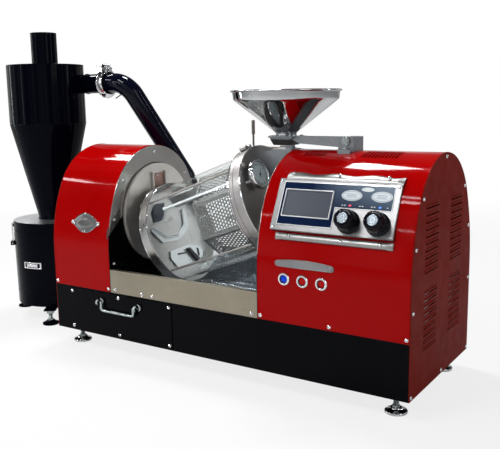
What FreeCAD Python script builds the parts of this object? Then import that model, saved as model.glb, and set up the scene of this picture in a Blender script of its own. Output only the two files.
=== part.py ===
import FreeCAD
import Part
import math
import os

# Coffee bean roaster with a glass drum that turns about an axis it is tilted against.
# Lengths are millimetres. X runs to the right, Y to the back, Z up. The machine is drawn
# from the left front corner of the underside of its base, and moved when it is written so
# that the origin is the bottom centre of everything.

# ---------------------------------------------------------------- driving dimensions

# drum and the chamber it turns in
DRUM_RADIUS = 134.0
DRUM_LENGTH = 334.0
DRUM_TILT = 20.3
DRUM_END_CLEARANCE = 18.3
AXIS_HEIGHT = 305.0
BAND_SHEET = 2.0
LEFT_BAND_WIDTH = 29.0
RIGHT_BAND_WIDTH = 38.0
GLASS_WALL = 4.0
GLASS_GAP = 1.0
ROD_RADIUS = 3.0
ROD_COUNT = 4
NUT_WIDTH = 11.0
NUT_HEIGHT = 6.0
CAGE_WALL = 1.2
CAGE_SIDES = 8
CAGE_CLEARANCE = 3.0
CAGE_HOLE = 7.0
CAGE_HOLE_PITCH = 14.0
VANE_DEPTH = 34.0
VANE_SHEET = 1.5
VANE_COUNT = 3

# turning discs, axles and carriers
DISC_RADIUS = 131.0
DISC_SHEET = 9.0
DISC_GAP = 2.0
DISC_INSET = 2.0
AXLE_RADIUS = 30.0
AXLE_WALL = 4.0
AXLE_FIT = 0.05
AXLE_REACH = 10.0
BEARING_WALL = 11.0
BEARING_WIDTH = 22.0
STAND_MARGIN = 14.0
CARRIER_WIDTH = 54.0
CARRIER_HEIGHT = 62.0
CARRIER_SHEET = 3.0

# housings and base
DRIVE_HOUSING_LENGTH = 202.0
HEATER_HOUSING_LENGTH = 355.0
BODY_DEPTH = 376.0
ARCH_BAND = 47.0
CROWN_INSET = 23.0
STRAIGHT_BELOW_AXIS = 85.0
SLANT_RISE = 6.0
COVER_SHEET = 1.5
BASE_HEIGHT = 120.0
BASE_SHEET = 2.0
SCREW_HEAD_RADIUS = 4.5
SCREW_HEAD_HEIGHT = 2.4
SCREW_MARGIN = 8.0

# louvres and vents
LOUVRE_LENGTH = 76.0
LOUVRE_HEIGHT = 3.5
LOUVRE_PITCH = 14.6
LOUVRE_COLUMN_OFFSET = 77.0
LOUVRE_UPPER_COUNT = 10
LOUVRE_LOWER_COUNT = 9
LOUVRE_LOWER_HEIGHT = 85.0
LOUVRE_UPPER_HEIGHT = 246.0
VENT_COUNT = 11
VENT_PITCH = 7.8
VENT_SLOT = 3.0
VENT_LENGTH = 60.0
VENT_FROM_POST = 33.0
VENT_FRONT_COUNT = 7
VENT_FRONT_OFFSET = 46.0

# cooling tray
TRAY_FLOOR_HEIGHT = 86.0
TRAY_WALL_HEIGHT = 179.0
TRAY_SHEET = 1.5
TRAY_LIP = 12.0
TRAY_HOLE = 6.0
TRAY_HOLE_PITCH = 22.0
TRAY_SEAM_OFFSET = 112.0
TRAY_EDGE = 4.0

# levelling feet
FOOT_HEIGHT = 45.0
FOOT_PAD_RADIUS = 24.0
FOOT_PAD_HEIGHT = 12.0
FOOT_STEM_RADIUS = 6.0
FOOT_NUT_WIDTH = 19.0
FOOT_NUT_HEIGHT = 10.0
FOOT_MARGIN = 44.0

# access cover in the base and its drop handle
ACCESS_LEFT = 55.0
ACCESS_LENGTH = 345.0
ACCESS_MARGIN = 4.0
ACCESS_SHEET = 2.0
HANDLE_SPAN = 112.0
HANDLE_DROP = 21.0
HANDLE_ROD_RADIUS = 3.5
HANDLE_EAR = 8.0
HANDLE_PIVOT_HEIGHT = 92.0
HANDLE_OFFSET = 174.0
HANDLE_FIT = 0.3

# drive
DRUM_PULLEY_RADIUS = 70.0
MOTOR_PULLEY_RADIUS = 22.0
PULLEY_WIDTH = 14.0
BELT_SHEET = 3.0
BELT_GAP = 0.3
MOTOR_RADIUS = 42.0
MOTOR_LENGTH = 96.0
MOTOR_FOOT_INSET = 19.0
MOTOR_SHAFT_RADIUS = 7.0
MOTOR_FROM_MIDDLE = 100.0
MOTOR_HEIGHT = 182.0

# fans and ducts
FAN_RADIUS = 50.0
FAN_WIDTH = 52.0
FAN_WALL = 2.0
FAN_INLET_RADIUS = 26.0
FAN_TIP_GAP = 6.0
FAN_BLADES = 10
FAN_SHAFT_RADIUS = 5.0
FAN_MOTOR_RADIUS = 30.0
FAN_MOTOR_LENGTH = 32.0
DUCT_RADIUS = 25.0
EXHAUST_FAN_FROM_MIDDLE = 110.0
PLENUM_LENGTH = 50.0
INTAKE_FAN_HEIGHT = 184.0
HEATER_GAP = 4.0
HEATER_WIDTH = 120.0
HEATER_HEIGHT = 120.0
HEATER_SHEET = 2.0
COIL_RADIUS = 5.0
CONTROL_BOX_DEPTH = 280.0
CONTROL_BOX_WIDTH = 76.0
CONTROL_BOX_HEIGHT = 106.0

# console on the heater housing
CONSOLE_LEFT = 677.0
CONSOLE_LENGTH = 281.0
CONSOLE_HEIGHT = 116.0
CONSOLE_RISE = 104.0
CONSOLE_ABOVE_AXIS = 18.0
CONSOLE_STANDOFF = 8.5
CONSOLE_SHEET = 2.0
STRIP_SHEET = 2.0
STRIP_UPPER_WIDTH = 12.0
STRIP_LOWER_WIDTH = 17.0
OVERLAY_SHEET = 0.8
OVERLAY_MARGIN = 13.0
OVERLAY_SCREEN_LENGTH = 131.0
OVERLAY_UPPER_HEIGHT = 52.0
SCREEN_LENGTH = 113.0
SCREEN_HEIGHT = 60.0
SCREEN_SHEET = 3.0
SCREEN_FRAME = 3.5
KNOB_RADIUS = 25.0
KNOB_TIP_RADIUS = 20.0
KNOB_LENGTH = 32.0
KNOB_CAP_RADIUS = 11.5
KNOB_CAP_SHEET = 1.5
KNOB_GAP = 0.5
KNOB_SHAFT_RADIUS = 3.0
KNOB_FROM_LEFT = 180.0
KNOB_PITCH = 65.0
KNOB_FROM_BOTTOM = 29.0

# push buttons, name plate and badge, all left blank
BUTTON_PITCH = 45.0
BUTTON_FROM_LEFT = 70.0
BUTTON_BELOW_AXIS = 87.0
BEZEL_RADIUS = 14.0
BEZEL_SHEET = 3.5
BEZEL_BARREL_RADIUS = 11.0
BEZEL_BARREL_LENGTH = 24.0
BUTTON_RADIUS = 8.5
BUTTON_CLEARANCE = 0.3
BUTTON_PROUD = 2.5
BUTTON_LENGTH = 12.0
BUTTON_TRAVEL = 3.0
PLATE_SHEET = 1.5
SKIN_GAP = 0.3
NAME_PLATE_LENGTH = 144.0
NAME_PLATE_HEIGHT = 19.0
NAME_PLATE_END = 15.0
NAME_PLATE_BELOW_AXIS = 60.5
NAME_PLATE_SHIFT = 3.0
BADGE_LENGTH = 98.0
BADGE_HEIGHT = 50.0
BADGE_CENTRE = 117.0
BADGE_BELOW_AXIS = 38.0
BADGE_END = 10.0

# charging spout on the drum and its gate
SPOUT_RIGHT_GAP = 7.0
SPOUT_LENGTH = 50.0
SPOUT_WIDTH = 44.0
SPOUT_SHEET = 2.0
SPOUT_DROP = 5.0
SPOUT_LOW = 50.0
SPOUT_HIGH = 112.0
GATE_SHEET = 2.0
GATE_TRAVEL = 30.0
GATE_FIT = 0.3
GAUGE_RADIUS = 30.0
GAUGE_LENGTH = 23.0
GAUGE_UP = 60.0
GAUGE_SIDE = 60.0

# hopper on its swing arm
SWEEP_CLEARANCE = 3.0
COLLAR_HEIGHT = 18.0
COLLAR_TOP_WIDTH = 58.0
COLLAR_SHEET = 2.0
FLANGE_LENGTH = 72.0
FLANGE_POINT = 47.5
FLANGE_WIDTH = 70.0
FLANGE_SHEET = 2.5
HOPPER_RADIUS = 131.0
HOPPER_NECK_RADIUS = 24.5
HOPPER_NECK_HEIGHT = 9.0
HOPPER_CONE_HEIGHT = 76.0
HOPPER_BAND_HEIGHT = 23.0
HOPPER_BAND_RADIUS = 124.0
HOPPER_BAND_TOP_RADIUS = 127.0
HOPPER_LIP_HEIGHT = 4.0
HOPPER_SHEET = 1.5
ARM_REACH = 168.0
ARM_WIDTH = 44.0
ARM_SHEET = 2.5
ARM_THIN = 13.0
ARM_DEEP = 20.0
POST_LENGTH = 30.0
POST_FOOT = 18.0
POST_WALL = 3.0
POST_GAP = 1.0
PIVOT_RADIUS = 5.0
PIVOT_FROM_LEFT = 12.0
PIVOT_FIT = 0.05
STOP_RADIUS = 4.0
STOP_GAP = 0.3
LEVER_ROD_RADIUS = 2.6
LEVER_HEIGHT = 69.0
LEVER_GRIP_RADIUS = 4.6
LEVER_GRIP_LENGTH = 34.0
LEVER_BACK = 84.0
LEVER_DROP = 34.0
LEVER_SHAFT_LENGTH = 100.0
LEVER_BOSS_RADIUS = 9.0
LEVER_COLLAR_RADIUS = 7.0

# cyclone, chaff bin and exhaust pipe
CYCLONE_FROM_BODY = 231.5
CYCLONE_DEPTH = 211.0
CYCLONE_RADIUS = 111.0
CYCLONE_HEIGHT = 171.0
CYCLONE_CONE_HEIGHT = 277.0
CYCLONE_NECK_RADIUS = 46.0
CYCLONE_NECK_HEIGHT = 10.0
CYCLONE_SHEET = 1.5
OUTLET_RADIUS = 37.5
OUTLET_HEIGHT = 93.0
OUTLET_DEPTH = 60.0
BIN_RADIUS = 121.0
BIN_BASE_RADIUS = 119.0
BIN_HEIGHT = 224.0
BIN_SHEET = 1.5
LID_HEIGHT = 28.0
LID_SHEET = 1.5
LID_GAP = 0.3
BIN_FOOT_CIRCLE = 140.0
BIN_FOOT_COUNT = 3
BIN_FOOT_TURN = 67.0
BRACKET_WIDTH = 34.0
BRACKET_SHEET = 4.0
PIPE_RADIUS = 28.0
PIPE_SHEET = 1.5
PIPE_BEND_RADIUS = 62.0
PIPE_BEND_SHARE = 0.9
PIPE_STUB_DEPTH = 288.0
PIPE_STUB_LENGTH = 62.0
PIPE_STUB_DROP = 56.0
PIPE_BACK = 64.0
PIPE_END_ABOVE_AXIS = 30.0
PIPE_END_LEFT = 136.0
PIPE_ELBOW_FROM_BODY = 20.0
PIPE_FLANGE_RADIUS = 44.0
PIPE_FLANGE_SHEET = 5.0
SOCKET_RIM = 7.0
CLAMP_WIDTH = 18.0
CLAMP_SHEET = 4.0
CLAMP_LEVER_LENGTH = 36.0
CLAMP_LEVER_SHEET = 3.0
LATCH_LENGTH = 44.0
LATCH_WIDTH = 20.0
LATCH_SHEET = 3.0
LATCH_TURN = 225.0
INLET_WIDTH = 28.0
INLET_HEIGHT = 48.0
INLET_SHEET = 3.0

# ---------------------------------------------------------------- derived places

TILT_COS = math.cos(math.radians(DRUM_TILT))
TILT_SIN = math.sin(math.radians(DRUM_TILT))
HALF_DRUM = DRUM_LENGTH / 2
CHAMBER_LENGTH = 2 * (HALF_DRUM * TILT_COS + DRUM_RADIUS * TILT_SIN + DRUM_END_CLEARANCE)
SWEEP_RADIUS = HALF_DRUM * TILT_SIN + DRUM_RADIUS * TILT_COS
CHAMBER_LEFT = DRIVE_HOUSING_LENGTH
CHAMBER_RIGHT = CHAMBER_LEFT + CHAMBER_LENGTH
BODY_LENGTH = CHAMBER_RIGHT + HEATER_HOUSING_LENGTH
BODY_HEIGHT = AXIS_HEIGHT + DISC_RADIUS + ARCH_BAND
MIDDLE = BODY_DEPTH / 2
DRUM_CENTRE = FreeCAD.Vector(CHAMBER_LEFT + CHAMBER_LENGTH / 2, MIDDLE, AXIS_HEIGHT)
CROWN_RADIUS = MIDDLE - CROWN_INSET
CROWN_HEIGHT = BODY_HEIGHT - CROWN_RADIUS
STRAIGHT_HEIGHT = AXIS_HEIGHT - STRAIGHT_BELOW_AXIS
CONSOLE_LOW_HEIGHT = AXIS_HEIGHT + CONSOLE_ABOVE_AXIS
BUTTON_HEIGHT = AXIS_HEIGHT - BUTTON_BELOW_AXIS
NAME_PLATE_BASE = AXIS_HEIGHT - NAME_PLATE_BELOW_AXIS
BADGE_BASE = AXIS_HEIGHT - BADGE_BELOW_AXIS
SIDE_RADIUS = ((MIDDLE ** 2 + (CROWN_HEIGHT - STRAIGHT_HEIGHT) ** 2 - CROWN_RADIUS ** 2)
               / (2 * (MIDDLE - CROWN_RADIUS)))
GLASS_RADIUS = DRUM_RADIUS - BAND_SHEET - 2 * ROD_RADIUS - 2 * GLASS_GAP
ROD_CIRCLE = DRUM_RADIUS - BAND_SHEET - ROD_RADIUS - GLASS_GAP
DECK_HEIGHT = BASE_HEIGHT
PULLEY_LEFT = CHAMBER_LEFT - COVER_SHEET - DISC_SHEET - PULLEY_WIDTH - BELT_SHEET
BEARING_LEFT = PULLEY_LEFT - BEARING_WIDTH - 2 * BELT_SHEET
EXHAUST_FAN_LEFT = PIPE_END_LEFT - FAN_WIDTH / 2
DUCT_OFFSET = FAN_RADIUS - DUCT_RADIUS - FAN_WALL
MOTOR_DEPTH = MIDDLE - MOTOR_FROM_MIDDLE
EXHAUST_FAN_DEPTH = MIDDLE + EXHAUST_FAN_FROM_MIDDLE
PIPE_END_HEIGHT = AXIS_HEIGHT + PIPE_END_ABOVE_AXIS
EXHAUST_FAN_HEIGHT = PIPE_END_HEIGHT - DUCT_OFFSET
LEFT_AXLE_END = EXHAUST_FAN_LEFT - AXLE_REACH
RIGHT_AXLE_END = CHAMBER_RIGHT + CHAMBER_LEFT - LEFT_AXLE_END
SPOUT_TOP = AXIS_HEIGHT + SWEEP_RADIUS - SPOUT_DROP
SPOUT_RIGHT = CHAMBER_RIGHT - SPOUT_RIGHT_GAP
SPOUT_CENTRE = SPOUT_RIGHT - SPOUT_LENGTH / 2
COLLAR_LOW = AXIS_HEIGHT + SWEEP_RADIUS + SWEEP_CLEARANCE
FLANGE_LOW = COLLAR_LOW + COLLAR_HEIGHT
PIVOT_HEIGHT = FLANGE_LOW - ARM_DEEP / 4
PIVOT_X = SPOUT_CENTRE + ARM_REACH
POST_LEFT = PIVOT_X - PIVOT_FROM_LEFT
LID_BASE = BIN_HEIGHT
LID_TOP = LID_BASE + LID_HEIGHT
CONE_BASE = LID_TOP + CYCLONE_NECK_HEIGHT
CYCLONE_BASE = CONE_BASE + CYCLONE_CONE_HEIGHT
CYCLONE_TOP = CYCLONE_BASE + CYCLONE_HEIGHT
CYCLONE_X = -CYCLONE_FROM_BODY
STUB_HEIGHT = CYCLONE_TOP - PIPE_STUB_DROP
DIP_RADIUS = OUTLET_RADIUS - CYCLONE_SHEET


# ---------------------------------------------------------------- shape helpers

def vec(x, y, z):
    return FreeCAD.Vector(x, y, z)


def block(x_low, x_high, y_low, y_high, z_low, z_high):
    return Part.makeBox(x_high - x_low, y_high - y_low, z_high - z_low, vec(x_low, y_low, z_low))


def rod_x(x_low, x_high, y, z, radius):
    return Part.makeCylinder(radius, x_high - x_low, vec(x_low, y, z), vec(1, 0, 0))


def rod_y(y_low, y_high, x, z, radius):
    return Part.makeCylinder(radius, y_high - y_low, vec(x, y_low, z), vec(0, 1, 0))


def rod_z(z_low, z_high, x, y, radius):
    return Part.makeCylinder(radius, z_high - z_low, vec(x, y, z_low), vec(0, 0, 1))


def tube_x(x_low, x_high, y, z, radius, wall):
    return rod_x(x_low, x_high, y, z, radius).cut(rod_x(x_low, x_high, y, z, radius - wall))


def closed_face(points):
    return Part.Face(Part.makePolygon(points + [points[0]]))


def hex_nut(width, height, bore):
    points = [vec(width / math.sqrt(3) * math.cos(math.radians(60 * i)),
                  width / math.sqrt(3) * math.sin(math.radians(60 * i)), 0) for i in range(6)]
    nut = closed_face(points).extrude(vec(0, 0, height))
    return nut.cut(Part.makeCylinder(bore, height))


def dome(radius, height):
    ball_radius = (radius ** 2 + height ** 2) / (2 * height)
    ball = Part.makeSphere(ball_radius, vec(0, 0, height - ball_radius))
    return ball.common(Part.makeCylinder(radius + 1, height))


def aimed(shape, place, direction):
    turned = shape.copy()
    turned.Placement = FreeCAD.Placement(place, FreeCAD.Rotation(vec(0, 0, 1), direction))
    return turned


def turned_profile(points, axis_place, axis_direction):
    return closed_face(points).revolve(axis_place, axis_direction, 360)


def joined(shapes):
    whole = shapes[0]
    for shape in shapes[1:]:
        whole = whole.fuse(shape)
    return whole.removeSplitter()


def group(shapes):
    solids = []
    for shape in shapes:
        solids.extend(shape.Solids)
    return Part.makeCompound(solids)


# ---------------------------------------------------------------- arched housings

def arch_wire(inset, low):
    """Outline of the housing across the machine, drawn inset from the outer skin."""
    side = vec(0, SIDE_RADIUS, STRAIGHT_HEIGHT)
    crown = vec(0, MIDDLE, CROWN_HEIGHT)
    reach = (crown - side).normalize()
    meeting = crown + reach * (CROWN_RADIUS - inset)
    rise = math.atan2(reach.z, -reach.y) / 2
    side_middle = side + vec(0, -math.cos(rise), math.sin(rise)) * (SIDE_RADIUS - inset)
    front_low = vec(0, inset, low)
    front_high = vec(0, inset, STRAIGHT_HEIGHT)
    top = crown + vec(0, 0, CROWN_RADIUS - inset)
    flip = [vec(0, BODY_DEPTH - p.y, p.z) for p in (front_low, front_high, side_middle, meeting)]
    edges = [
        Part.makeLine(front_low, front_high),
        Part.Arc(front_high, side_middle, meeting).toShape(),
        Part.Arc(meeting, top, flip[3]).toShape(),
        Part.Arc(flip[3], flip[2], flip[1]).toShape(),
        Part.makeLine(flip[1], flip[0]),
        Part.makeLine(flip[0], front_low),
    ]
    return Part.Wire(edges)


def arch_solid(x_low, x_high, inset, low):
    solid = Part.Face(arch_wire(inset, low)).extrude(vec(x_high - x_low, 0, 0))
    solid.translate(vec(x_low, 0, 0))
    return solid


def cover_shell(x_low, x_high):
    return arch_solid(x_low, x_high, 0, BASE_HEIGHT).cut(
        arch_solid(x_low, x_high, COVER_SHEET, BASE_HEIGHT - COVER_SHEET))


def skin_depth(height):
    """Depth of the front skin behind the machine's front plane, at a height."""
    rise = max(height - STRAIGHT_HEIGHT, 0)
    meeting = SIDE_RADIUS * (CROWN_HEIGHT - STRAIGHT_HEIGHT) / (SIDE_RADIUS - CROWN_RADIUS)
    if rise > meeting:
        return MIDDLE - math.sqrt(CROWN_RADIUS ** 2 - (height - CROWN_HEIGHT) ** 2)
    return SIDE_RADIUS - math.sqrt(SIDE_RADIUS ** 2 - rise ** 2)


def left_cover():
    shell = cover_shell(COVER_SHEET, CHAMBER_LEFT - COVER_SHEET)
    return shell.cut(rod_y(MIDDLE, BODY_DEPTH, PIPE_END_LEFT, PIPE_END_HEIGHT, DUCT_RADIUS))


def left_end_panel():
    return arch_solid(0, COVER_SHEET, 0, 0)


def vent_slots(first_x, count):
    slots = []
    for i in range(count):
        x = first_x + i * VENT_PITCH
        slots.append(block(x, x + VENT_SLOT, MIDDLE - VENT_LENGTH, MIDDLE - VENT_LENGTH / 4,
                           CROWN_HEIGHT, BODY_HEIGHT))
    return slots


def console_openings():
    """Holes in the cover for the shafts and wires of the console and the buttons."""
    holes = []
    for x in button_places():
        holes.append(rod_y(-1, MIDDLE / 4, x, BUTTON_HEIGHT, BEZEL_BARREL_RADIUS))
    return holes


def right_cover():
    shell = cover_shell(CHAMBER_RIGHT + COVER_SHEET, BODY_LENGTH - COVER_SHEET)
    vents = (vent_slots(CHAMBER_RIGHT + VENT_FRONT_OFFSET, VENT_FRONT_COUNT)
             + vent_slots(POST_LEFT + POST_LENGTH + VENT_FROM_POST, VENT_COUNT))
    cutters = vents + console_openings() + [power_inlet_hole()]
    return shell.cut(group(cutters))


def louvre_slots():
    slots = []
    rows = [LOUVRE_UPPER_HEIGHT + i * LOUVRE_PITCH for i in range(LOUVRE_UPPER_COUNT)]
    rows += [LOUVRE_LOWER_HEIGHT + i * LOUVRE_PITCH for i in range(LOUVRE_LOWER_COUNT)]
    for side in (-1, 1):
        centre = MIDDLE + side * LOUVRE_COLUMN_OFFSET
        for z in rows:
            slots.append(block(BODY_LENGTH - 2 * COVER_SHEET, BODY_LENGTH + COVER_SHEET,
                               centre - LOUVRE_LENGTH / 2, centre + LOUVRE_LENGTH / 2,
                               z, z + LOUVRE_HEIGHT))
    return slots


def right_end_panel():
    return arch_solid(BODY_LENGTH - COVER_SHEET, BODY_LENGTH, 0, 0).cut(group(louvre_slots()))


def disc_hole(x_low, x_high):
    return rod_x(x_low, x_high, MIDDLE, AXIS_HEIGHT, DISC_RADIUS + DISC_GAP)


def lower_face_block(x_low, x_high):
    """Space under the slanted joint between the bright arch and the dark lower panel."""
    outer = STRAIGHT_HEIGHT + (AXIS_HEIGHT - STRAIGHT_HEIGHT) / 2
    inner = AXIS_HEIGHT + SLANT_RISE
    shoulder = MIDDLE - DISC_RADIUS - DISC_GAP
    points = [vec(x_low, -1, 0), vec(x_low, -1, outer), vec(x_low, shoulder, inner),
              vec(x_low, BODY_DEPTH - shoulder, inner), vec(x_low, BODY_DEPTH + 1, outer),
              vec(x_low, BODY_DEPTH + 1, 0)]
    return closed_face(points).extrude(vec(x_high - x_low, 0, 0))


def face_plate(x_low, x_high):
    plate = arch_solid(x_low, x_high, 0, BASE_HEIGHT).cut(disc_hole(x_low, x_high))
    return plate.cut(lower_face_block(x_low, x_high))


def lower_panel(x_low, x_high):
    plate = arch_solid(x_low, x_high, 0, BASE_HEIGHT).cut(disc_hole(x_low, x_high))
    return plate.common(lower_face_block(x_low, x_high))


# ---------------------------------------------------------------- base and tray

def tray_well(low, high):
    return block(CHAMBER_LEFT + TRAY_EDGE, CHAMBER_RIGHT - TRAY_EDGE,
                 TRAY_EDGE, BODY_DEPTH - TRAY_EDGE, low, high)


def base_shell():
    outer = block(COVER_SHEET, BODY_LENGTH - COVER_SHEET, 0, BODY_DEPTH, 0, DECK_HEIGHT)
    hollow = block(COVER_SHEET + BASE_SHEET, BODY_LENGTH - COVER_SHEET - BASE_SHEET,
                   BASE_SHEET, BODY_DEPTH - BASE_SHEET, BASE_SHEET, DECK_HEIGHT - BASE_SHEET)
    port = block(ACCESS_LEFT + 2 * SCREW_MARGIN, ACCESS_LEFT + ACCESS_LENGTH - 2 * SCREW_MARGIN,
                 -1, BASE_SHEET + 1, 2 * SCREW_MARGIN, DECK_HEIGHT - 3 * SCREW_MARGIN)
    cutters = [hollow, port, tray_well(DECK_HEIGHT - 2 * BASE_SHEET, DECK_HEIGHT)]
    return outer.cut(group(cutters + [rod_z(0, BASE_SHEET, x, y, FOOT_STEM_RADIUS)
                                      for x, y in foot_places()]))


def tray_holes():
    holes = []
    along = int((CHAMBER_LENGTH - 4 * TRAY_EDGE) / TRAY_HOLE_PITCH) - 1
    across = int((BODY_DEPTH - 4 * TRAY_EDGE) / TRAY_HOLE_PITCH) - 1
    first_x = DRUM_CENTRE.x - along * TRAY_HOLE_PITCH / 2
    first_y = MIDDLE - across * TRAY_HOLE_PITCH / 2
    for i in range(along + 1):
        for j in range(across + 1):
            holes.append(rod_z(TRAY_FLOOR_HEIGHT - TRAY_SHEET, TRAY_FLOOR_HEIGHT,
                               first_x + i * TRAY_HOLE_PITCH, first_y + j * TRAY_HOLE_PITCH,
                               TRAY_HOLE / 2))
    return holes


def cooling_tray():
    pan = tray_well(TRAY_FLOOR_HEIGHT - TRAY_SHEET, DECK_HEIGHT)
    rear = block(CHAMBER_LEFT + TRAY_EDGE, CHAMBER_RIGHT - TRAY_EDGE,
                 BODY_DEPTH - TRAY_EDGE - TRAY_SHEET, BODY_DEPTH - TRAY_EDGE,
                 TRAY_FLOOR_HEIGHT, TRAY_WALL_HEIGHT)
    hollow = block(CHAMBER_LEFT + TRAY_EDGE + TRAY_SHEET, CHAMBER_RIGHT - TRAY_EDGE - TRAY_SHEET,
                   TRAY_EDGE + TRAY_SHEET, BODY_DEPTH - TRAY_EDGE - TRAY_SHEET,
                   TRAY_FLOOR_HEIGHT, DECK_HEIGHT)
    return joined([pan.cut(hollow), rear]).cut(group(tray_holes()))


def tray_front_walls():
    """Two folded panels in front of the tray, with a seam between them."""
    seam = CHAMBER_LEFT + TRAY_SEAM_OFFSET
    panels = []
    for x_low, x_high in ((CHAMBER_LEFT, seam), (seam, CHAMBER_RIGHT)):
        upright = block(x_low, x_high, 0, TRAY_SHEET, DECK_HEIGHT, TRAY_WALL_HEIGHT)
        lip = block(x_low, x_high, TRAY_SHEET, TRAY_LIP,
                    TRAY_WALL_HEIGHT - TRAY_SHEET, TRAY_WALL_HEIGHT)
        panels.append(joined([upright, lip]))
    return group(panels)


def tray_rear_rail():
    """Outer sheet behind the tray, closing the gap under the rear edge of the chamber."""
    return block(CHAMBER_LEFT, CHAMBER_RIGHT, BODY_DEPTH - TRAY_EDGE, BODY_DEPTH,
                 DECK_HEIGHT, TRAY_WALL_HEIGHT)


def foot_places():
    return [(x, y) for x in (FOOT_MARGIN, BODY_LENGTH - FOOT_MARGIN)
            for y in (FOOT_MARGIN, BODY_DEPTH - FOOT_MARGIN)]


def bin_foot_places():
    places = []
    for i in range(BIN_FOOT_COUNT):
        angle = math.radians(BIN_FOOT_TURN + i * 360 / BIN_FOOT_COUNT)
        places.append((CYCLONE_X + BIN_FOOT_CIRCLE * math.cos(angle),
                       CYCLONE_DEPTH + BIN_FOOT_CIRCLE * math.sin(angle)))
    return places


def foot_pad(x, y):
    rim = FOOT_PAD_HEIGHT / 4
    points = [vec(0, 0, 0), vec(FOOT_PAD_RADIUS, 0, 0), vec(FOOT_PAD_RADIUS, 0, rim),
              vec(2 * FOOT_STEM_RADIUS, 0, FOOT_PAD_HEIGHT), vec(0, 0, FOOT_PAD_HEIGHT)]
    pad = turned_profile(points, vec(0, 0, 0), vec(0, 0, 1))
    pad.translate(vec(x, y, -FOOT_HEIGHT))
    return pad


def foot_stem(x, y, nut_top, top):
    """Threaded stem with its lock nut under the plate it screws into."""
    stem = rod_z(-FOOT_HEIGHT + FOOT_PAD_HEIGHT, top, x, y, FOOT_STEM_RADIUS)
    nut = hex_nut(FOOT_NUT_WIDTH, FOOT_NUT_HEIGHT, FOOT_STEM_RADIUS)
    nut.translate(vec(x, y, nut_top - FOOT_NUT_HEIGHT))
    return group([stem, nut])


def foot_stems(places, nut_top, top):
    return group([foot_stem(x, y, nut_top, top) for x, y in places])


def foot_pads(places):
    return group([foot_pad(x, y) for x, y in places])


# ---------------------------------------------------------------- access cover

HANDLE_LEFT = ACCESS_LEFT + HANDLE_OFFSET - HANDLE_SPAN / 2
HANDLE_RIGHT = HANDLE_LEFT + HANDLE_SPAN
HANDLE_FRONT = -ACCESS_SHEET - HANDLE_EAR / 2 - HANDLE_ROD_RADIUS


def access_cover():
    plate = block(ACCESS_LEFT, ACCESS_LEFT + ACCESS_LENGTH, -ACCESS_SHEET, 0,
                  ACCESS_MARGIN, DECK_HEIGHT - ACCESS_MARGIN)
    pieces = [plate]
    for x, side in ((HANDLE_LEFT, -1), (HANDLE_RIGHT, 1)):
        near = x + side * (HANDLE_ROD_RADIUS + HANDLE_FIT)
        low = min(near, near + side * HANDLE_EAR)
        ear = rod_x(low, low + HANDLE_EAR, HANDLE_FRONT, HANDLE_PIVOT_HEIGHT, HANDLE_EAR)
        root = block(low, low + HANDLE_EAR, HANDLE_FRONT, -ACCESS_SHEET,
                     HANDLE_PIVOT_HEIGHT - HANDLE_EAR, HANDLE_PIVOT_HEIGHT + HANDLE_EAR)
        bore = rod_x(low, low + HANDLE_EAR, HANDLE_FRONT, HANDLE_PIVOT_HEIGHT,
                     HANDLE_ROD_RADIUS + HANDLE_FIT)
        whole = joined([ear, root]).common(
            block(low, low + HANDLE_EAR, -BODY_DEPTH, -ACCESS_SHEET, 0, BASE_HEIGHT))
        pieces.append(whole.cut(bore))
    return joined(pieces)


def drop_handle():
    low = HANDLE_PIVOT_HEIGHT - HANDLE_DROP
    reach = HANDLE_ROD_RADIUS + HANDLE_FIT + HANDLE_EAR
    pieces = [rod_x(HANDLE_LEFT, HANDLE_RIGHT, HANDLE_FRONT, low, HANDLE_ROD_RADIUS)]
    for x, side in ((HANDLE_LEFT, -1), (HANDLE_RIGHT, 1)):
        pieces.append(rod_z(low, HANDLE_PIVOT_HEIGHT, x, HANDLE_FRONT, HANDLE_ROD_RADIUS))
        pieces.append(rod_x(min(x, x + side * reach), max(x, x + side * reach), HANDLE_FRONT,
                            HANDLE_PIVOT_HEIGHT, HANDLE_ROD_RADIUS))
        for z in (low, HANDLE_PIVOT_HEIGHT):
            pieces.append(Part.makeSphere(HANDLE_ROD_RADIUS, vec(x, HANDLE_FRONT, z)))
    return joined(pieces)


# ---------------------------------------------------------------- drum, drawn along its own axis

def tilted(shape):
    """Carry a shape from the drum's own axis to its tilted place in the machine."""
    placed = shape.copy()
    placed.Placement = FreeCAD.Placement(
        DRUM_CENTRE, FreeCAD.Rotation(vec(0, 1, 0), -DRUM_TILT)).multiply(placed.Placement)
    return placed


def end_cup(outer_end, width, side):
    """End disc and band of the drum: side is -1 for the left end, 1 for the right end."""
    inner_end = outer_end - side * width
    low, high = sorted((outer_end, inner_end))
    cup = rod_x(low, high, 0, 0, DRUM_RADIUS)
    hollow_low, hollow_high = sorted((outer_end - side * BAND_SHEET, inner_end - side))
    return cup.cut(rod_x(hollow_low, hollow_high, 0, 0, DRUM_RADIUS - BAND_SHEET))


def rod_angles():
    return [math.radians(45 + i * 360 / ROD_COUNT) for i in range(ROD_COUNT)]


def rod_bores(low, high):
    return [rod_x(low, high, ROD_CIRCLE * math.cos(a), ROD_CIRCLE * math.sin(a), ROD_RADIUS)
            for a in rod_angles()]


def left_drum_end():
    cup = end_cup(-HALF_DRUM, LEFT_BAND_WIDTH, -1)
    return tilted(cup.cut(group(rod_bores(-HALF_DRUM - 1, -HALF_DRUM + LEFT_BAND_WIDTH))))


def axle_crossing():
    """Where the turning axis passes an end plate, measured up the plate from its middle."""
    return HALF_DRUM * math.tan(math.radians(DRUM_TILT))


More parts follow.
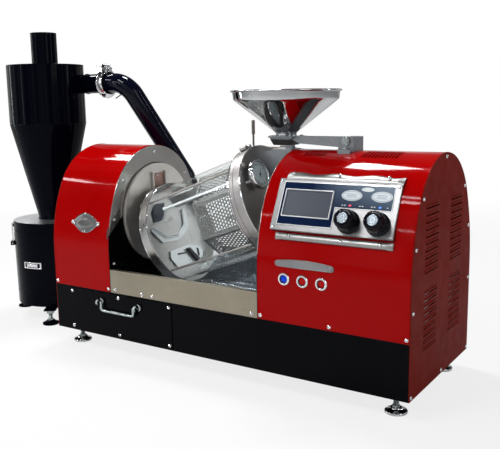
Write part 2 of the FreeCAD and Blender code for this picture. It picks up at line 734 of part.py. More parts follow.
def right_drum_end():
    cup = end_cup(HALF_DRUM, RIGHT_BAND_WIDTH, 1)
    port = block(HALF_DRUM - BAND_SHEET - 1, HALF_DRUM + 1, -SPOUT_WIDTH / 2 + SPOUT_SHEET,
                 SPOUT_WIDTH / 2 - SPOUT_SHEET, SPOUT_LOW + 3 * SPOUT_SHEET,
                 SPOUT_HIGH - 3 * SPOUT_SHEET)
    bores = rod_bores(HALF_DRUM - RIGHT_BAND_WIDTH, HALF_DRUM + 1)
    return tilted(cup.cut(group(bores + [port])))


def drum_glass():
    return tilted(tube_x(-HALF_DRUM + BAND_SHEET, HALF_DRUM - BAND_SHEET, 0, 0,
                         GLASS_RADIUS, GLASS_WALL))


def tie_rods():
    rods = [rod_x(-HALF_DRUM - NUT_HEIGHT - 1, HALF_DRUM + NUT_HEIGHT + 1,
                  ROD_CIRCLE * math.cos(a), ROD_CIRCLE * math.sin(a), ROD_RADIUS)
            for a in rod_angles()]
    return tilted(group(rods))


def rod_nuts():
    nuts = []
    for a in rod_angles():
        y = ROD_CIRCLE * math.cos(a)
        z = ROD_CIRCLE * math.sin(a)
        nut = hex_nut(NUT_WIDTH, NUT_HEIGHT, ROD_RADIUS)
        nuts.append(aimed(nut, vec(HALF_DRUM, y, z), vec(1, 0, 0)))
        nuts.append(aimed(nut, vec(-HALF_DRUM - NUT_HEIGHT, y, z), vec(1, 0, 0)))
    return tilted(group(nuts))


def cage_radius():
    return GLASS_RADIUS - GLASS_WALL - CAGE_CLEARANCE


def cage_prism(radius, low, high):
    points = [vec(low, radius * math.cos(math.pi * (2 * i + 1) / CAGE_SIDES),
                  radius * math.sin(math.pi * (2 * i + 1) / CAGE_SIDES))
              for i in range(CAGE_SIDES)]
    return closed_face(points).extrude(vec(high - low, 0, 0))


def cage_holes(low, high):
    flat = cage_radius() * math.cos(math.pi / CAGE_SIDES)
    half_side = cage_radius() * math.sin(math.pi / CAGE_SIDES)
    across = int((2 * half_side - 2 * CAGE_HOLE) / CAGE_HOLE_PITCH)
    along = int((high - low - 2 * CAGE_HOLE) / CAGE_HOLE_PITCH)
    holes = []
    for side in range(CAGE_SIDES):
        for i in range(along + 1):
            for j in range(across + 1):
                x = (low + high) / 2 + (i - along / 2) * CAGE_HOLE_PITCH
                y = (j - across / 2) * CAGE_HOLE_PITCH
                hole = rod_z(flat - 4 * CAGE_WALL, flat + CAGE_WALL, x, y, CAGE_HOLE / 2)
                hole.rotate(vec(0, 0, 0), vec(1, 0, 0), side * 360 / CAGE_SIDES)
                holes.append(hole)
    return holes


CAGE_LOW = 0.0
CAGE_HIGH = HALF_DRUM - BAND_SHEET


def drum_cage():
    shell = cage_prism(cage_radius(), CAGE_LOW, CAGE_HIGH).cut(
        cage_prism(cage_radius() - CAGE_WALL, CAGE_LOW - 1, CAGE_HIGH + 1))
    return tilted(shell.cut(group(cage_holes(CAGE_LOW, CAGE_HIGH))))


def mixing_vanes():
    """Flat blades fixed to the left end of the drum, which lift and fold the beans."""
    vanes = []
    outer = cage_radius() * math.cos(math.pi / CAGE_SIDES)
    for i in range(VANE_COUNT):
        vane = block(-HALF_DRUM + BAND_SHEET, CAGE_LOW, -VANE_SHEET / 2, VANE_SHEET / 2,
                     outer - VANE_DEPTH, outer)
        vane.rotate(vec(0, 0, 0), vec(1, 0, 0), 30 + i * 360 / VANE_COUNT)
        vanes.append(vane)
    return tilted(group(vanes))


def gauge():
    y = MIDDLE - GAUGE_SIDE - DRUM_CENTRE.y
    return tilted(rod_x(HALF_DRUM, HALF_DRUM + GAUGE_LENGTH, y, GAUGE_UP, GAUGE_RADIUS))


def plate_point(side, up):
    """Point of the outer face of a drum end, in the upright plane of the turning axis."""
    return vec(DRUM_CENTRE.x + side * HALF_DRUM * TILT_COS - up * TILT_SIN, MIDDLE,
               DRUM_CENTRE.z + side * HALF_DRUM * TILT_SIN + up * TILT_COS)


def spout_outline(inset):
    low = plate_point(1, SPOUT_LOW + inset)
    high = plate_point(1, SPOUT_HIGH - inset)
    left = SPOUT_RIGHT - SPOUT_LENGTH + inset
    right = SPOUT_RIGHT - inset
    top = SPOUT_TOP - GATE_SHEET - GATE_FIT
    knee = low.z + (top - low.z) / 2
    return [low, high, vec(left, MIDDLE, top), vec(right, MIDDLE, top), vec(right, MIDDLE, knee)]


def spout_prism(inset):
    half = SPOUT_WIDTH / 2 - inset
    points = [vec(p.x, MIDDLE - half, p.z) for p in spout_outline(inset)]
    return closed_face(points).extrude(vec(0, 2 * half, 0))


def gate_rails():
    """Two folded rails on the mouth of the spout that hold the gate."""
    top = SPOUT_TOP - GATE_SHEET - GATE_FIT
    rails = []
    for x_low, x_high in ((SPOUT_RIGHT - SPOUT_LENGTH - SPOUT_SHEET, SPOUT_RIGHT - SPOUT_LENGTH),
                          (SPOUT_RIGHT, SPOUT_RIGHT + SPOUT_SHEET)):
        rails.append(block(x_low, x_high, MIDDLE - SPOUT_WIDTH / 2, MIDDLE + SPOUT_WIDTH / 2,
                           top - 2 * SPOUT_SHEET, SPOUT_TOP))
    return rails


def charging_spout():
    mouth = block(SPOUT_RIGHT - SPOUT_LENGTH + SPOUT_SHEET, SPOUT_RIGHT - SPOUT_SHEET,
                  MIDDLE - SPOUT_WIDTH / 2 + SPOUT_SHEET, MIDDLE + SPOUT_WIDTH / 2 - SPOUT_SHEET,
                  SPOUT_TOP - 5 * SPOUT_SHEET, SPOUT_TOP)
    throat = block(0, SPOUT_SHEET * 2, -SPOUT_WIDTH / 2 + SPOUT_SHEET,
                   SPOUT_WIDTH / 2 - SPOUT_SHEET, SPOUT_LOW + 3 * SPOUT_SHEET,
                   SPOUT_HIGH - 3 * SPOUT_SHEET)
    throat.translate(vec(HALF_DRUM - SPOUT_SHEET, 0, 0))
    body = spout_prism(0).cut(spout_prism(SPOUT_SHEET)).cut(mouth).cut(tilted(throat))
    return joined([body] + gate_rails())


def charge_gate():
    """Flat slide in the mouth of the spout, drawn back to let the beans in."""
    return block(SPOUT_RIGHT - SPOUT_LENGTH + GATE_FIT, SPOUT_RIGHT - GATE_FIT,
                 MIDDLE - SPOUT_WIDTH / 2, MIDDLE + SPOUT_WIDTH / 2,
                 SPOUT_TOP - GATE_SHEET, SPOUT_TOP)


# ---------------------------------------------------------------- discs, axles and carriers

def turning_disc(x_low):
    disc = rod_x(x_low, x_low + DISC_SHEET, MIDDLE, AXIS_HEIGHT, DISC_RADIUS)
    return disc.cut(rod_x(x_low, x_low + DISC_SHEET, MIDDLE, AXIS_HEIGHT,
                          AXLE_RADIUS - AXLE_WALL))


LEFT_DISC_LOW = CHAMBER_LEFT + DISC_INSET - COVER_SHEET
RIGHT_DISC_LOW = CHAMBER_RIGHT - DISC_INSET + COVER_SHEET - DISC_SHEET
LEFT_DISC_FACE = LEFT_DISC_LOW + DISC_SHEET
RIGHT_DISC_FACE = RIGHT_DISC_LOW


def axle(x_low, x_high):
    return tube_x(x_low, x_high, MIDDLE, AXIS_HEIGHT, AXLE_RADIUS, AXLE_WALL)


def drum_side_space(side):
    """Large block that covers the drum and all beyond it, used to trim a carrier."""
    size = DRUM_LENGTH + DRUM_RADIUS
    start = HALF_DRUM - size
    space = block(start, start + size, -size, size, -size, size)
    if side < 0:
        space = space.mirror(vec(0, 0, 0), vec(1, 0, 0))
    return tilted(space)


def carrier(side):
    """Hollow duct and U-shaped bracket that join a turning disc to a drum end."""
    face = LEFT_DISC_FACE if side < 0 else RIGHT_DISC_FACE
    low, high = sorted((face, DRUM_CENTRE.x))
    duct = tube_x(low, high, MIDDLE, AXIS_HEIGHT, AXLE_RADIUS, AXLE_WALL)
    base = AXIS_HEIGHT - side * (AXLE_RADIUS - AXLE_WALL)
    tip = base - side * (CARRIER_HEIGHT + AXLE_RADIUS)
    z_low, z_high = sorted((base, tip))
    half = CARRIER_WIDTH / 2
    cheeks = [block(low, high, MIDDLE - half, MIDDLE - half + CARRIER_SHEET, z_low, z_high),
              block(low, high, MIDDLE + half - CARRIER_SHEET, MIDDLE + half, z_low, z_high)]
    web_low, web_high = sorted((base, base - side * CARRIER_SHEET))
    web = block(low, high, MIDDLE - half, MIDDLE + half, web_low, web_high)
    bore = rod_x(low, high, MIDDLE, AXIS_HEIGHT, AXLE_RADIUS - AXLE_WALL)
    whole = joined([duct, web] + cheeks).cut(bore)
    return whole.cut(drum_side_space(side))


def bearing(x_low):
    return tube_x(x_low, x_low + BEARING_WIDTH, MIDDLE, AXIS_HEIGHT,
                  AXLE_RADIUS + AXLE_FIT + BEARING_WALL, BEARING_WALL)


def bearing_stand(x_low):
    outer = AXLE_RADIUS + AXLE_FIT + BEARING_WALL
    half = outer + STAND_MARGIN
    foot = block(x_low, x_low + BEARING_WIDTH, MIDDLE - half, MIDDLE + half,
                 DECK_HEIGHT, AXIS_HEIGHT)
    head = rod_x(x_low, x_low + BEARING_WIDTH, MIDDLE, AXIS_HEIGHT, half)
    return joined([foot, head]).cut(rod_x(x_low, x_low + BEARING_WIDTH, MIDDLE, AXIS_HEIGHT,
                                          outer))


RIGHT_BEARING_LEFT = CHAMBER_RIGHT + CHAMBER_LEFT - BEARING_LEFT - BEARING_WIDTH


def shaft_bearings():
    return group([bearing(BEARING_LEFT), bearing(RIGHT_BEARING_LEFT)])


def bearing_stands():
    return group([bearing_stand(BEARING_LEFT), bearing_stand(RIGHT_BEARING_LEFT)])


# ---------------------------------------------------------------- belt drive

def pulley(x_low, y, z, radius, bore):
    rim = radius + BELT_SHEET
    flange = BELT_SHEET / 2
    points = [vec(0, 0, 0), vec(0, rim, 0), vec(flange, rim, 0), vec(flange, radius, 0),
              vec(PULLEY_WIDTH - flange, radius, 0), vec(PULLEY_WIDTH - flange, rim, 0),
              vec(PULLEY_WIDTH, rim, 0), vec(PULLEY_WIDTH, 0, 0)]
    wheel = turned_profile(points, vec(0, 0, 0), vec(1, 0, 0))
    wheel = wheel.cut(rod_x(0, PULLEY_WIDTH, 0, 0, bore))
    wheel.translate(vec(x_low, y, z))
    return wheel


def drum_pulley():
    return pulley(PULLEY_LEFT, MIDDLE, AXIS_HEIGHT, DRUM_PULLEY_RADIUS, AXLE_RADIUS)


def motor_pulley():
    return pulley(PULLEY_LEFT, MOTOR_DEPTH, MOTOR_HEIGHT, MOTOR_PULLEY_RADIUS, MOTOR_SHAFT_RADIUS)


def belt_loop(extra):
    """Solid inside a belt line that runs round both pulleys, out from them by extra."""
    big = vec(0, MIDDLE, AXIS_HEIGHT)
    small = vec(0, MOTOR_DEPTH, MOTOR_HEIGHT)
    span = small - big
    distance = span.Length
    along = vec(0, span.y / distance, span.z / distance)
    across = vec(0, -along.z, along.y)
    lean = (DRUM_PULLEY_RADIUS - MOTOR_PULLEY_RADIUS) / distance
    rise = math.sqrt(1 - lean ** 2)
    wires = []
    normals = [along * lean + across * rise, along * lean - across * rise]
    big_radius = DRUM_PULLEY_RADIUS + extra
    small_radius = MOTOR_PULLEY_RADIUS + extra
    a, b = big + normals[0] * big_radius, small + normals[0] * small_radius
    c, d = small + normals[1] * small_radius, big + normals[1] * big_radius
    wires.append(Part.makeLine(a, b))
    wires.append(Part.Arc(b, small + along * small_radius, c).toShape())
    wires.append(Part.makeLine(c, d))
    wires.append(Part.Arc(d, big - along * big_radius, a).toShape())
    flange = BELT_SHEET / 2 + BELT_GAP
    solid = Part.Face(Part.Wire(wires)).extrude(vec(PULLEY_WIDTH - 2 * flange, 0, 0))
    solid.translate(vec(PULLEY_LEFT + flange, 0, 0))
    return solid


def drive_belt():
    return belt_loop(BELT_GAP + BELT_SHEET).cut(belt_loop(BELT_GAP))


MOTOR_RIGHT = PULLEY_LEFT - BELT_SHEET


def drive_motor():
    can = rod_x(MOTOR_RIGHT - MOTOR_LENGTH, MOTOR_RIGHT, MOTOR_DEPTH, MOTOR_HEIGHT, MOTOR_RADIUS)
    foot = block(MOTOR_RIGHT - MOTOR_LENGTH + MOTOR_FOOT_INSET, MOTOR_RIGHT - MOTOR_FOOT_INSET,
                 MOTOR_DEPTH - MOTOR_RADIUS, MOTOR_DEPTH + MOTOR_RADIUS / 2,
                 DECK_HEIGHT, MOTOR_HEIGHT - MOTOR_RADIUS / 2)
    bore = rod_x(MOTOR_RIGHT - MOTOR_LENGTH / 2, MOTOR_RIGHT, MOTOR_DEPTH, MOTOR_HEIGHT,
                 MOTOR_SHAFT_RADIUS + AXLE_FIT)
    return joined([can, foot]).cut(bore)


def motor_shaft():
    return rod_x(MOTOR_RIGHT - MOTOR_LENGTH / 2 + AXLE_FIT, PULLEY_LEFT + PULLEY_WIDTH,
                 MOTOR_DEPTH, MOTOR_HEIGHT, MOTOR_SHAFT_RADIUS)


# ---------------------------------------------------------------- fans and ducts

def fan_housing(x_low, y, z, outlet, duct_length):
    """Round fan housing; outlet is the unit direction in which its duct blows."""
    x_mid = x_low + FAN_WIDTH / 2
    side = vec(0, outlet.z, outlet.y)
    start = vec(x_mid, y + side.y * DUCT_OFFSET, z + side.z * DUCT_OFFSET)
    stub = Part.makeCylinder(DUCT_RADIUS, duct_length, start, outlet)
    stub_bore = Part.makeCylinder(DUCT_RADIUS - FAN_WALL, duct_length, start, outlet)
    drum = rod_x(x_low, x_low + FAN_WIDTH, y, z, FAN_RADIUS)
    room = rod_x(x_low + FAN_WALL, x_low + FAN_WIDTH - FAN_WALL, y, z, FAN_RADIUS - FAN_WALL)
    inlet = rod_x(x_low - 1, x_low + FAN_WALL + 1, y, z, FAN_INLET_RADIUS)
    shaft = rod_x(x_low + FAN_WIDTH - FAN_WALL - 1, x_low + FAN_WIDTH + 1, y, z,
                  2 * FAN_SHAFT_RADIUS)
    return joined([drum, stub]).cut(group([room, stub_bore, inlet, shaft]))


def fan_wheel(x_low, y, z):
    """Hub, back disc and blades of a fan, with its shaft running into the fan motor."""
    left = x_low + FAN_WALL + FAN_TIP_GAP
    right = x_low + FAN_WIDTH - FAN_WALL - FAN_TIP_GAP
    tip = FAN_RADIUS - FAN_WALL - FAN_TIP_GAP
    hub = 2 * FAN_SHAFT_RADIUS
    back = rod_x(right - FAN_WALL, right, y, z, tip)
    middle = rod_x(left, right, y, z, hub)
    shaft = rod_x(right, x_low + FAN_WIDTH + FAN_MOTOR_LENGTH / 2, y, z, FAN_SHAFT_RADIUS)
    blades = []
    for i in range(FAN_BLADES):
        blade = block(left, right, y - FAN_WALL / 2, y + FAN_WALL / 2, z + hub / 2, z + tip - 1)
        blade.rotate(vec(0, y, z), vec(1, 0, 0), i * 360 / FAN_BLADES)
        blades.append(blade)
    return joined([back, middle, shaft] + blades)


def fan_motor(x_low, y, z):
    start = x_low + FAN_WIDTH
    can = rod_x(start, start + FAN_MOTOR_LENGTH, y, z, FAN_MOTOR_RADIUS)
    return can.cut(rod_x(start, start + FAN_MOTOR_LENGTH / 2 + AXLE_FIT, y, z,
                         FAN_SHAFT_RADIUS + AXLE_FIT))


PLENUM_LEFT = EXHAUST_FAN_LEFT - PLENUM_LENGTH


def exhaust_fan_housing():
    housing = fan_housing(EXHAUST_FAN_LEFT, EXHAUST_FAN_DEPTH, EXHAUST_FAN_HEIGHT,
                          vec(0, 1, 0), BODY_DEPTH - EXHAUST_FAN_DEPTH)
    foot = block(EXHAUST_FAN_LEFT, EXHAUST_FAN_LEFT + 4 * FAN_WALL,
                 EXHAUST_FAN_DEPTH - FAN_RADIUS / 2, EXHAUST_FAN_DEPTH + FAN_RADIUS / 2,
                 DECK_HEIGHT, EXHAUST_FAN_HEIGHT)
    room = rod_x(EXHAUST_FAN_LEFT, EXHAUST_FAN_LEFT + FAN_WIDTH, EXHAUST_FAN_DEPTH,
                 EXHAUST_FAN_HEIGHT, FAN_RADIUS - FAN_WALL / 2)
    beyond = block(0, CHAMBER_LEFT, MIDDLE, BODY_DEPTH + 1, DECK_HEIGHT, BODY_HEIGHT).cut(
        arch_solid(0, CHAMBER_LEFT, 0, 0))
    return joined([housing.cut(beyond), foot.cut(room)])


def exhaust_plenum():
    """Box that takes the air from the end of the hollow axle to the fan."""
    right = EXHAUST_FAN_LEFT
    y_low = MIDDLE - AXLE_RADIUS - 2 * AXLE_WALL
    y_high = EXHAUST_FAN_DEPTH + FAN_INLET_RADIUS + 2 * FAN_WALL
    z_low = AXIS_HEIGHT - AXLE_RADIUS - 2 * AXLE_WALL
    z_high = AXIS_HEIGHT + AXLE_RADIUS + 2 * AXLE_WALL
    outer = block(PLENUM_LEFT, right, y_low, y_high, z_low, z_high)
    hollow = block(PLENUM_LEFT + FAN_WALL, right - FAN_WALL, y_low + FAN_WALL,
                   y_high - FAN_WALL, z_low + FAN_WALL, z_high - FAN_WALL)
    entry = rod_x(right - FAN_WALL - 1, right + 1, MIDDLE, AXIS_HEIGHT, AXLE_RADIUS + FAN_WALL)
    leave = rod_x(right - FAN_WALL - 1, right + 1, EXHAUST_FAN_DEPTH, EXHAUST_FAN_HEIGHT,
                  FAN_INLET_RADIUS)
    leg = block(PLENUM_LEFT, PLENUM_LEFT + FAN_WALL * 4, MIDDLE, y_high, DECK_HEIGHT, z_low)
    return joined([outer.cut(group([hollow, entry, leave])), leg])


HEATER_LEFT = RIGHT_AXLE_END - 2 * AXLE_WALL
HEATER_LOW = AXIS_HEIGHT - HEATER_HEIGHT / 2
CONTROL_BOX_RIGHT = BODY_LENGTH - 6 * COVER_SHEET
HEATER_LENGTH = CONTROL_BOX_RIGHT - CONTROL_BOX_WIDTH - HEATER_GAP - HEATER_LEFT
INTAKE_FAN_LEFT = HEATER_LEFT + HEATER_LENGTH / 2 - FAN_WIDTH / 2


def heater_box():
    x_high = HEATER_LEFT + HEATER_LENGTH
    half = HEATER_WIDTH / 2
    top = HEATER_LOW + HEATER_HEIGHT
    outer = block(HEATER_LEFT, x_high, MIDDLE - half, MIDDLE + half, HEATER_LOW, top)
    hollow = block(HEATER_LEFT + HEATER_SHEET, x_high - HEATER_SHEET,
                   MIDDLE - half + HEATER_SHEET, MIDDLE + half - HEATER_SHEET,
                   HEATER_LOW + HEATER_SHEET, top - HEATER_SHEET)
    mouth = rod_x(HEATER_LEFT - 1, HEATER_LEFT + HEATER_SHEET + 1, MIDDLE, AXIS_HEIGHT,
                  AXLE_RADIUS + HEATER_SHEET)
    intake = rod_z(HEATER_LOW - 1, HEATER_LOW + HEATER_SHEET + 1, INTAKE_FAN_LEFT + FAN_WIDTH / 2,
                   MIDDLE + DUCT_OFFSET, DUCT_RADIUS - FAN_WALL)
    legs = [block(x_high - 4 * HEATER_SHEET, x_high, y, y + 4 * HEATER_SHEET, DECK_HEIGHT,
                  HEATER_LOW) for y in (MIDDLE - half, MIDDLE + half - 4 * HEATER_SHEET)]
    return joined([outer.cut(group([hollow, mouth, intake]))] + legs)


def heater_coils():
    x_high = HEATER_LEFT + HEATER_LENGTH - HEATER_SHEET
    x_low = HEATER_LEFT + HEATER_LENGTH / 3
    return group([rod_x(x_low, x_high, MIDDLE + i * HEATER_WIDTH / 4,
                        AXIS_HEIGHT + j * HEATER_HEIGHT / 4, COIL_RADIUS)
                  for i in (-1, 1) for j in (-1, 1)])


def intake_fan_housing():
    housing = fan_housing(INTAKE_FAN_LEFT, MIDDLE, INTAKE_FAN_HEIGHT, vec(0, 0, 1),
                          HEATER_LOW - INTAKE_FAN_HEIGHT)
    foot = block(INTAKE_FAN_LEFT, INTAKE_FAN_LEFT + 4 * FAN_WALL, MIDDLE - FAN_RADIUS / 2,
                 MIDDLE + FAN_RADIUS / 2, DECK_HEIGHT, INTAKE_FAN_HEIGHT)
    room = rod_x(INTAKE_FAN_LEFT, INTAKE_FAN_LEFT + FAN_WIDTH, MIDDLE, INTAKE_FAN_HEIGHT,
                 FAN_RADIUS - FAN_WALL / 2)
    return joined([housing, foot.cut(room)])


def control_box():
    half = CONTROL_BOX_DEPTH / 2
    return block(CONTROL_BOX_RIGHT - CONTROL_BOX_WIDTH, CONTROL_BOX_RIGHT, MIDDLE - half, MIDDLE + half,
                 DECK_HEIGHT, DECK_HEIGHT + CONTROL_BOX_HEIGHT)


INLET_LEFT = BODY_LENGTH - 3 * INLET_WIDTH
INLET_LOW = DECK_HEIGHT + INLET_HEIGHT / 2


def power_inlet_hole():
    return block(INLET_LEFT, INLET_LEFT + INLET_WIDTH, MIDDLE, BODY_DEPTH + 1,
                 INLET_LOW, INLET_LOW + INLET_HEIGHT)


def power_inlet():
    """Recessed mains inlet in the back of the heater housing."""
    flange = block(INLET_LEFT - INLET_SHEET, INLET_LEFT + INLET_WIDTH + INLET_SHEET,
                   BODY_DEPTH, BODY_DEPTH + INLET_SHEET, INLET_LOW - INLET_SHEET,
                   INLET_LOW + INLET_HEIGHT + INLET_SHEET)
    body = block(INLET_LEFT, INLET_LEFT + INLET_WIDTH, BODY_DEPTH - INLET_WIDTH, BODY_DEPTH,
                 INLET_LOW, INLET_LOW + INLET_HEIGHT)
    socket = block(INLET_LEFT + INLET_SHEET, INLET_LEFT + INLET_WIDTH - INLET_SHEET,
                   BODY_DEPTH - INLET_WIDTH / 2, BODY_DEPTH + INLET_SHEET + 1,
                   INLET_LOW + 2 * INLET_SHEET, INLET_LOW + INLET_HEIGHT - 2 * INLET_SHEET)
    return joined([flange, body]).cut(socket)


# ---------------------------------------------------------------- console

def console_tilt():
    """Lean of the console in degrees, along the chord of the cover behind it."""
    back = skin_depth(CONSOLE_LOW_HEIGHT + CONSOLE_RISE) - skin_depth(CONSOLE_LOW_HEIGHT)
    return math.degrees(math.atan2(back, CONSOLE_RISE))


CONSOLE_TILT = console_tilt()


def console_placed(shape):
    """Carry a shape from the console's own plane (X right, Y up the slope, Z outwards)."""
    low = vec(CONSOLE_LEFT, skin_depth(CONSOLE_LOW_HEIGHT) - CONSOLE_STANDOFF, CONSOLE_LOW_HEIGHT)
    placed = shape.copy()
    placed.Placement = FreeCAD.Placement(
        low, FreeCAD.Rotation(vec(1, 0, 0), 90 - CONSOLE_TILT)).multiply(placed.Placement)
    return placed


def knob_places():
    return [(KNOB_FROM_LEFT, KNOB_FROM_BOTTOM), (KNOB_FROM_LEFT + KNOB_PITCH, KNOB_FROM_BOTTOM)]


def console_frame():
    """Face of the console with side walls that run back to the curved cover."""
    depth = 3 * CONSOLE_STANDOFF
    outer = block(0, CONSOLE_LENGTH, 0, CONSOLE_HEIGHT, -depth, 0)
    hollow = block(CONSOLE_SHEET, CONSOLE_LENGTH - CONSOLE_SHEET, CONSOLE_SHEET,
                   CONSOLE_HEIGHT - CONSOLE_SHEET, -depth - 1, -CONSOLE_SHEET)
    holes = [rod_z(-depth, 1, x, y, KNOB_SHAFT_RADIUS + AXLE_FIT) for x, y in knob_places()]
    frame = outer.cut(group([hollow] + holes))
    return console_placed(frame).cut(arch_solid(CHAMBER_RIGHT, BODY_LENGTH, 0, 0))


def cover_strip(low, high, x_low, x_high):
    """Bent strip that lies just off the cover between two heights."""
    region = block(x_low, x_high, -BODY_DEPTH, MIDDLE / 2, low, high)
    outer = arch_solid(x_low, x_high, -SKIN_GAP - STRIP_SHEET, 0)
    return outer.cut(arch_solid(x_low, x_high, -SKIN_GAP, 0)).common(region)


def console_strips():
    top = CONSOLE_LOW_HEIGHT + CONSOLE_HEIGHT * math.cos(math.radians(CONSOLE_TILT))
    low = (CONSOLE_LOW_HEIGHT - STRIP_SHEET
           - CONSOLE_STANDOFF * math.sin(math.radians(CONSOLE_TILT)))
    left = CONSOLE_LEFT + OVERLAY_MARGIN
    right = CONSOLE_LEFT + CONSOLE_LENGTH + OVERLAY_MARGIN / 2
    return group([cover_strip(top + STRIP_SHEET, top + STRIP_UPPER_WIDTH, left, right),
                  cover_strip(low - STRIP_LOWER_WIDTH, low, left, right)])


def console_overlay():
    """Printed panel with a step in its lower edge to clear the knobs."""
    right = CONSOLE_LENGTH - OVERLAY_MARGIN
    top = CONSOLE_HEIGHT - OVERLAY_MARGIN / 2
    points = [vec(OVERLAY_MARGIN, OVERLAY_MARGIN, 0),
              vec(OVERLAY_MARGIN + OVERLAY_SCREEN_LENGTH, OVERLAY_MARGIN, 0),
              vec(OVERLAY_MARGIN + OVERLAY_SCREEN_LENGTH, top - OVERLAY_UPPER_HEIGHT, 0),
              vec(right, top - OVERLAY_UPPER_HEIGHT, 0), vec(right, top, 0),
              vec(OVERLAY_MARGIN, top, 0)]
    return console_placed(closed_face(points).extrude(vec(0, 0, OVERLAY_SHEET)))


SCREEN_LEFT = OVERLAY_MARGIN + (OVERLAY_SCREEN_LENGTH - SCREEN_LENGTH) / 2
SCREEN_LOW = OVERLAY_MARGIN + SCREEN_LENGTH / 6


def touch_screen():
    frame = block(SCREEN_LEFT, SCREEN_LEFT + SCREEN_LENGTH, SCREEN_LOW,
                  SCREEN_LOW + SCREEN_HEIGHT, OVERLAY_SHEET, OVERLAY_SHEET + SCREEN_SHEET)
    recess = block(SCREEN_LEFT + SCREEN_FRAME, SCREEN_LEFT + SCREEN_LENGTH - SCREEN_FRAME,
                   SCREEN_LOW + SCREEN_FRAME, SCREEN_LOW + SCREEN_HEIGHT - SCREEN_FRAME,
                   OVERLAY_SHEET + SCREEN_SHEET / 2, OVERLAY_SHEET + SCREEN_SHEET)
    return console_placed(frame.cut(recess))


def knob(index):
    x, y = knob_places()[index]
    points = [vec(0, 0, KNOB_GAP), vec(KNOB_RADIUS, 0, KNOB_GAP),
              vec(KNOB_RADIUS, 0, KNOB_LENGTH / 4), vec(KNOB_TIP_RADIUS, 0, KNOB_LENGTH),
              vec(0, 0, KNOB_LENGTH)]
    body = turned_profile(points, vec(0, 0, 0), vec(0, 0, 1))
    shaft = Part.makeCylinder(KNOB_SHAFT_RADIUS, KNOB_GAP + 1.5 * CONSOLE_SHEET,
                              vec(0, 0, -1.5 * CONSOLE_SHEET))
    whole = joined([body, shaft])
    whole.translate(vec(x, y, 0))
    return console_placed(whole)


def knob_cap(index):
    x, y = knob_places()[index]
    return console_placed(rod_z(KNOB_LENGTH, KNOB_LENGTH + KNOB_CAP_SHEET, x, y,
                                KNOB_CAP_RADIUS))


# ---------------------------------------------------------------- buttons and plates

def button_places():
    return [CHAMBER_RIGHT + BUTTON_FROM_LEFT + i * BUTTON_PITCH for i in range(3)]


def button_bezel(x):
    ring = rod_y(-BEZEL_SHEET, 0, x, BUTTON_HEIGHT, BEZEL_RADIUS)
    barrel = rod_y(0, BEZEL_BARREL_LENGTH, x, BUTTON_HEIGHT, BEZEL_BARREL_RADIUS)
    bore = rod_y(-BEZEL_SHEET, BEZEL_BARREL_LENGTH - BEZEL_SHEET, x, BUTTON_HEIGHT,
                 BUTTON_RADIUS + BUTTON_CLEARANCE)
    return joined([ring, barrel]).cut(bore)


def button_bezels():
    return group([button_bezel(x) for x in button_places()])


def button(index):
    x = button_places()[index]
    front = -BEZEL_SHEET - BUTTON_PROUD
    return rod_y(front, front + BUTTON_LENGTH, x, BUTTON_HEIGHT, BUTTON_RADIUS)


def lens_plate(x, low, length, height, tip):
    """Plate with two bowed long edges that meet in blunt ends, lying on the front skin."""
    half = length / 2
    middle = low + height / 2
    left_low = vec(x - half, 0, middle - tip)
    left_high = vec(x - half, 0, middle + tip)
    right_low = vec(x + half, 0, middle - tip)
    right_high = vec(x + half, 0, middle + tip)
    edges = [Part.makeLine(left_low, left_high),
             Part.Arc(left_high, vec(x, 0, low + height), right_high).toShape(),
             Part.makeLine(right_high, right_low),
             Part.Arc(right_low, vec(x, 0, low), left_low).toShape()]
    blank = Part.Face(Part.Wire(edges)).extrude(vec(0, BODY_DEPTH / 4, 0))
    blank.translate(vec(0, -BODY_DEPTH / 8, 0))
    shell = arch_solid(x - length, x + length, -SKIN_GAP - PLATE_SHEET, 0).cut(
        arch_solid(x - length, x + length, -SKIN_GAP, 0))
    return shell.common(blank)


def name_plate():
    x = CHAMBER_RIGHT + BUTTON_FROM_LEFT + BUTTON_PITCH + NAME_PLATE_SHIFT
    return lens_plate(x, NAME_PLATE_BASE, NAME_PLATE_LENGTH, NAME_PLATE_HEIGHT,
                      NAME_PLATE_END / 2)


def side_badge():
    return lens_plate(BADGE_CENTRE, BADGE_BASE, BADGE_LENGTH, BADGE_HEIGHT, BADGE_END / 2)


# ---------------------------------------------------------------- hopper, arm and post

def hopper():
    """Wide sheet-metal bowl: lip, band, cone and neck."""
    low = FLANGE_LOW + FLANGE_SHEET
    neck_top = low + HOPPER_NECK_HEIGHT
    cone_top = neck_top + HOPPER_CONE_HEIGHT
    rim = cone_top + HOPPER_BAND_HEIGHT
    lip = rim - HOPPER_LIP_HEIGHT
    wall = HOPPER_SHEET
    points = [vec(HOPPER_NECK_RADIUS, 0, low), vec(HOPPER_NECK_RADIUS, 0, neck_top),
              vec(HOPPER_BAND_RADIUS, 0, cone_top), vec(HOPPER_BAND_TOP_RADIUS, 0, lip),
              vec(HOPPER_RADIUS, 0, lip), vec(HOPPER_RADIUS, 0, rim),
              vec(HOPPER_BAND_TOP_RADIUS - wall, 0, rim),
              vec(HOPPER_BAND_RADIUS - wall, 0, cone_top + wall),
              vec(HOPPER_NECK_RADIUS - wall, 0, neck_top + wall),
              vec(HOPPER_NECK_RADIUS - wall, 0, low)]
    bowl = turned_profile(points, vec(0, 0, 0), vec(0, 0, 1))
    bowl.translate(vec(SPOUT_CENTRE, MIDDLE, 0))
    return bowl


def square_face(width, z):
    half = width / 2
    points = [vec(SPOUT_CENTRE - half, MIDDLE - half, z), vec(SPOUT_CENTRE + half, MIDDLE - half, z),
              vec(SPOUT_CENTRE + half, MIDDLE + half, z), vec(SPOUT_CENTRE - half, MIDDLE + half, z)]
    return Part.makePolygon(points + [points[0]])


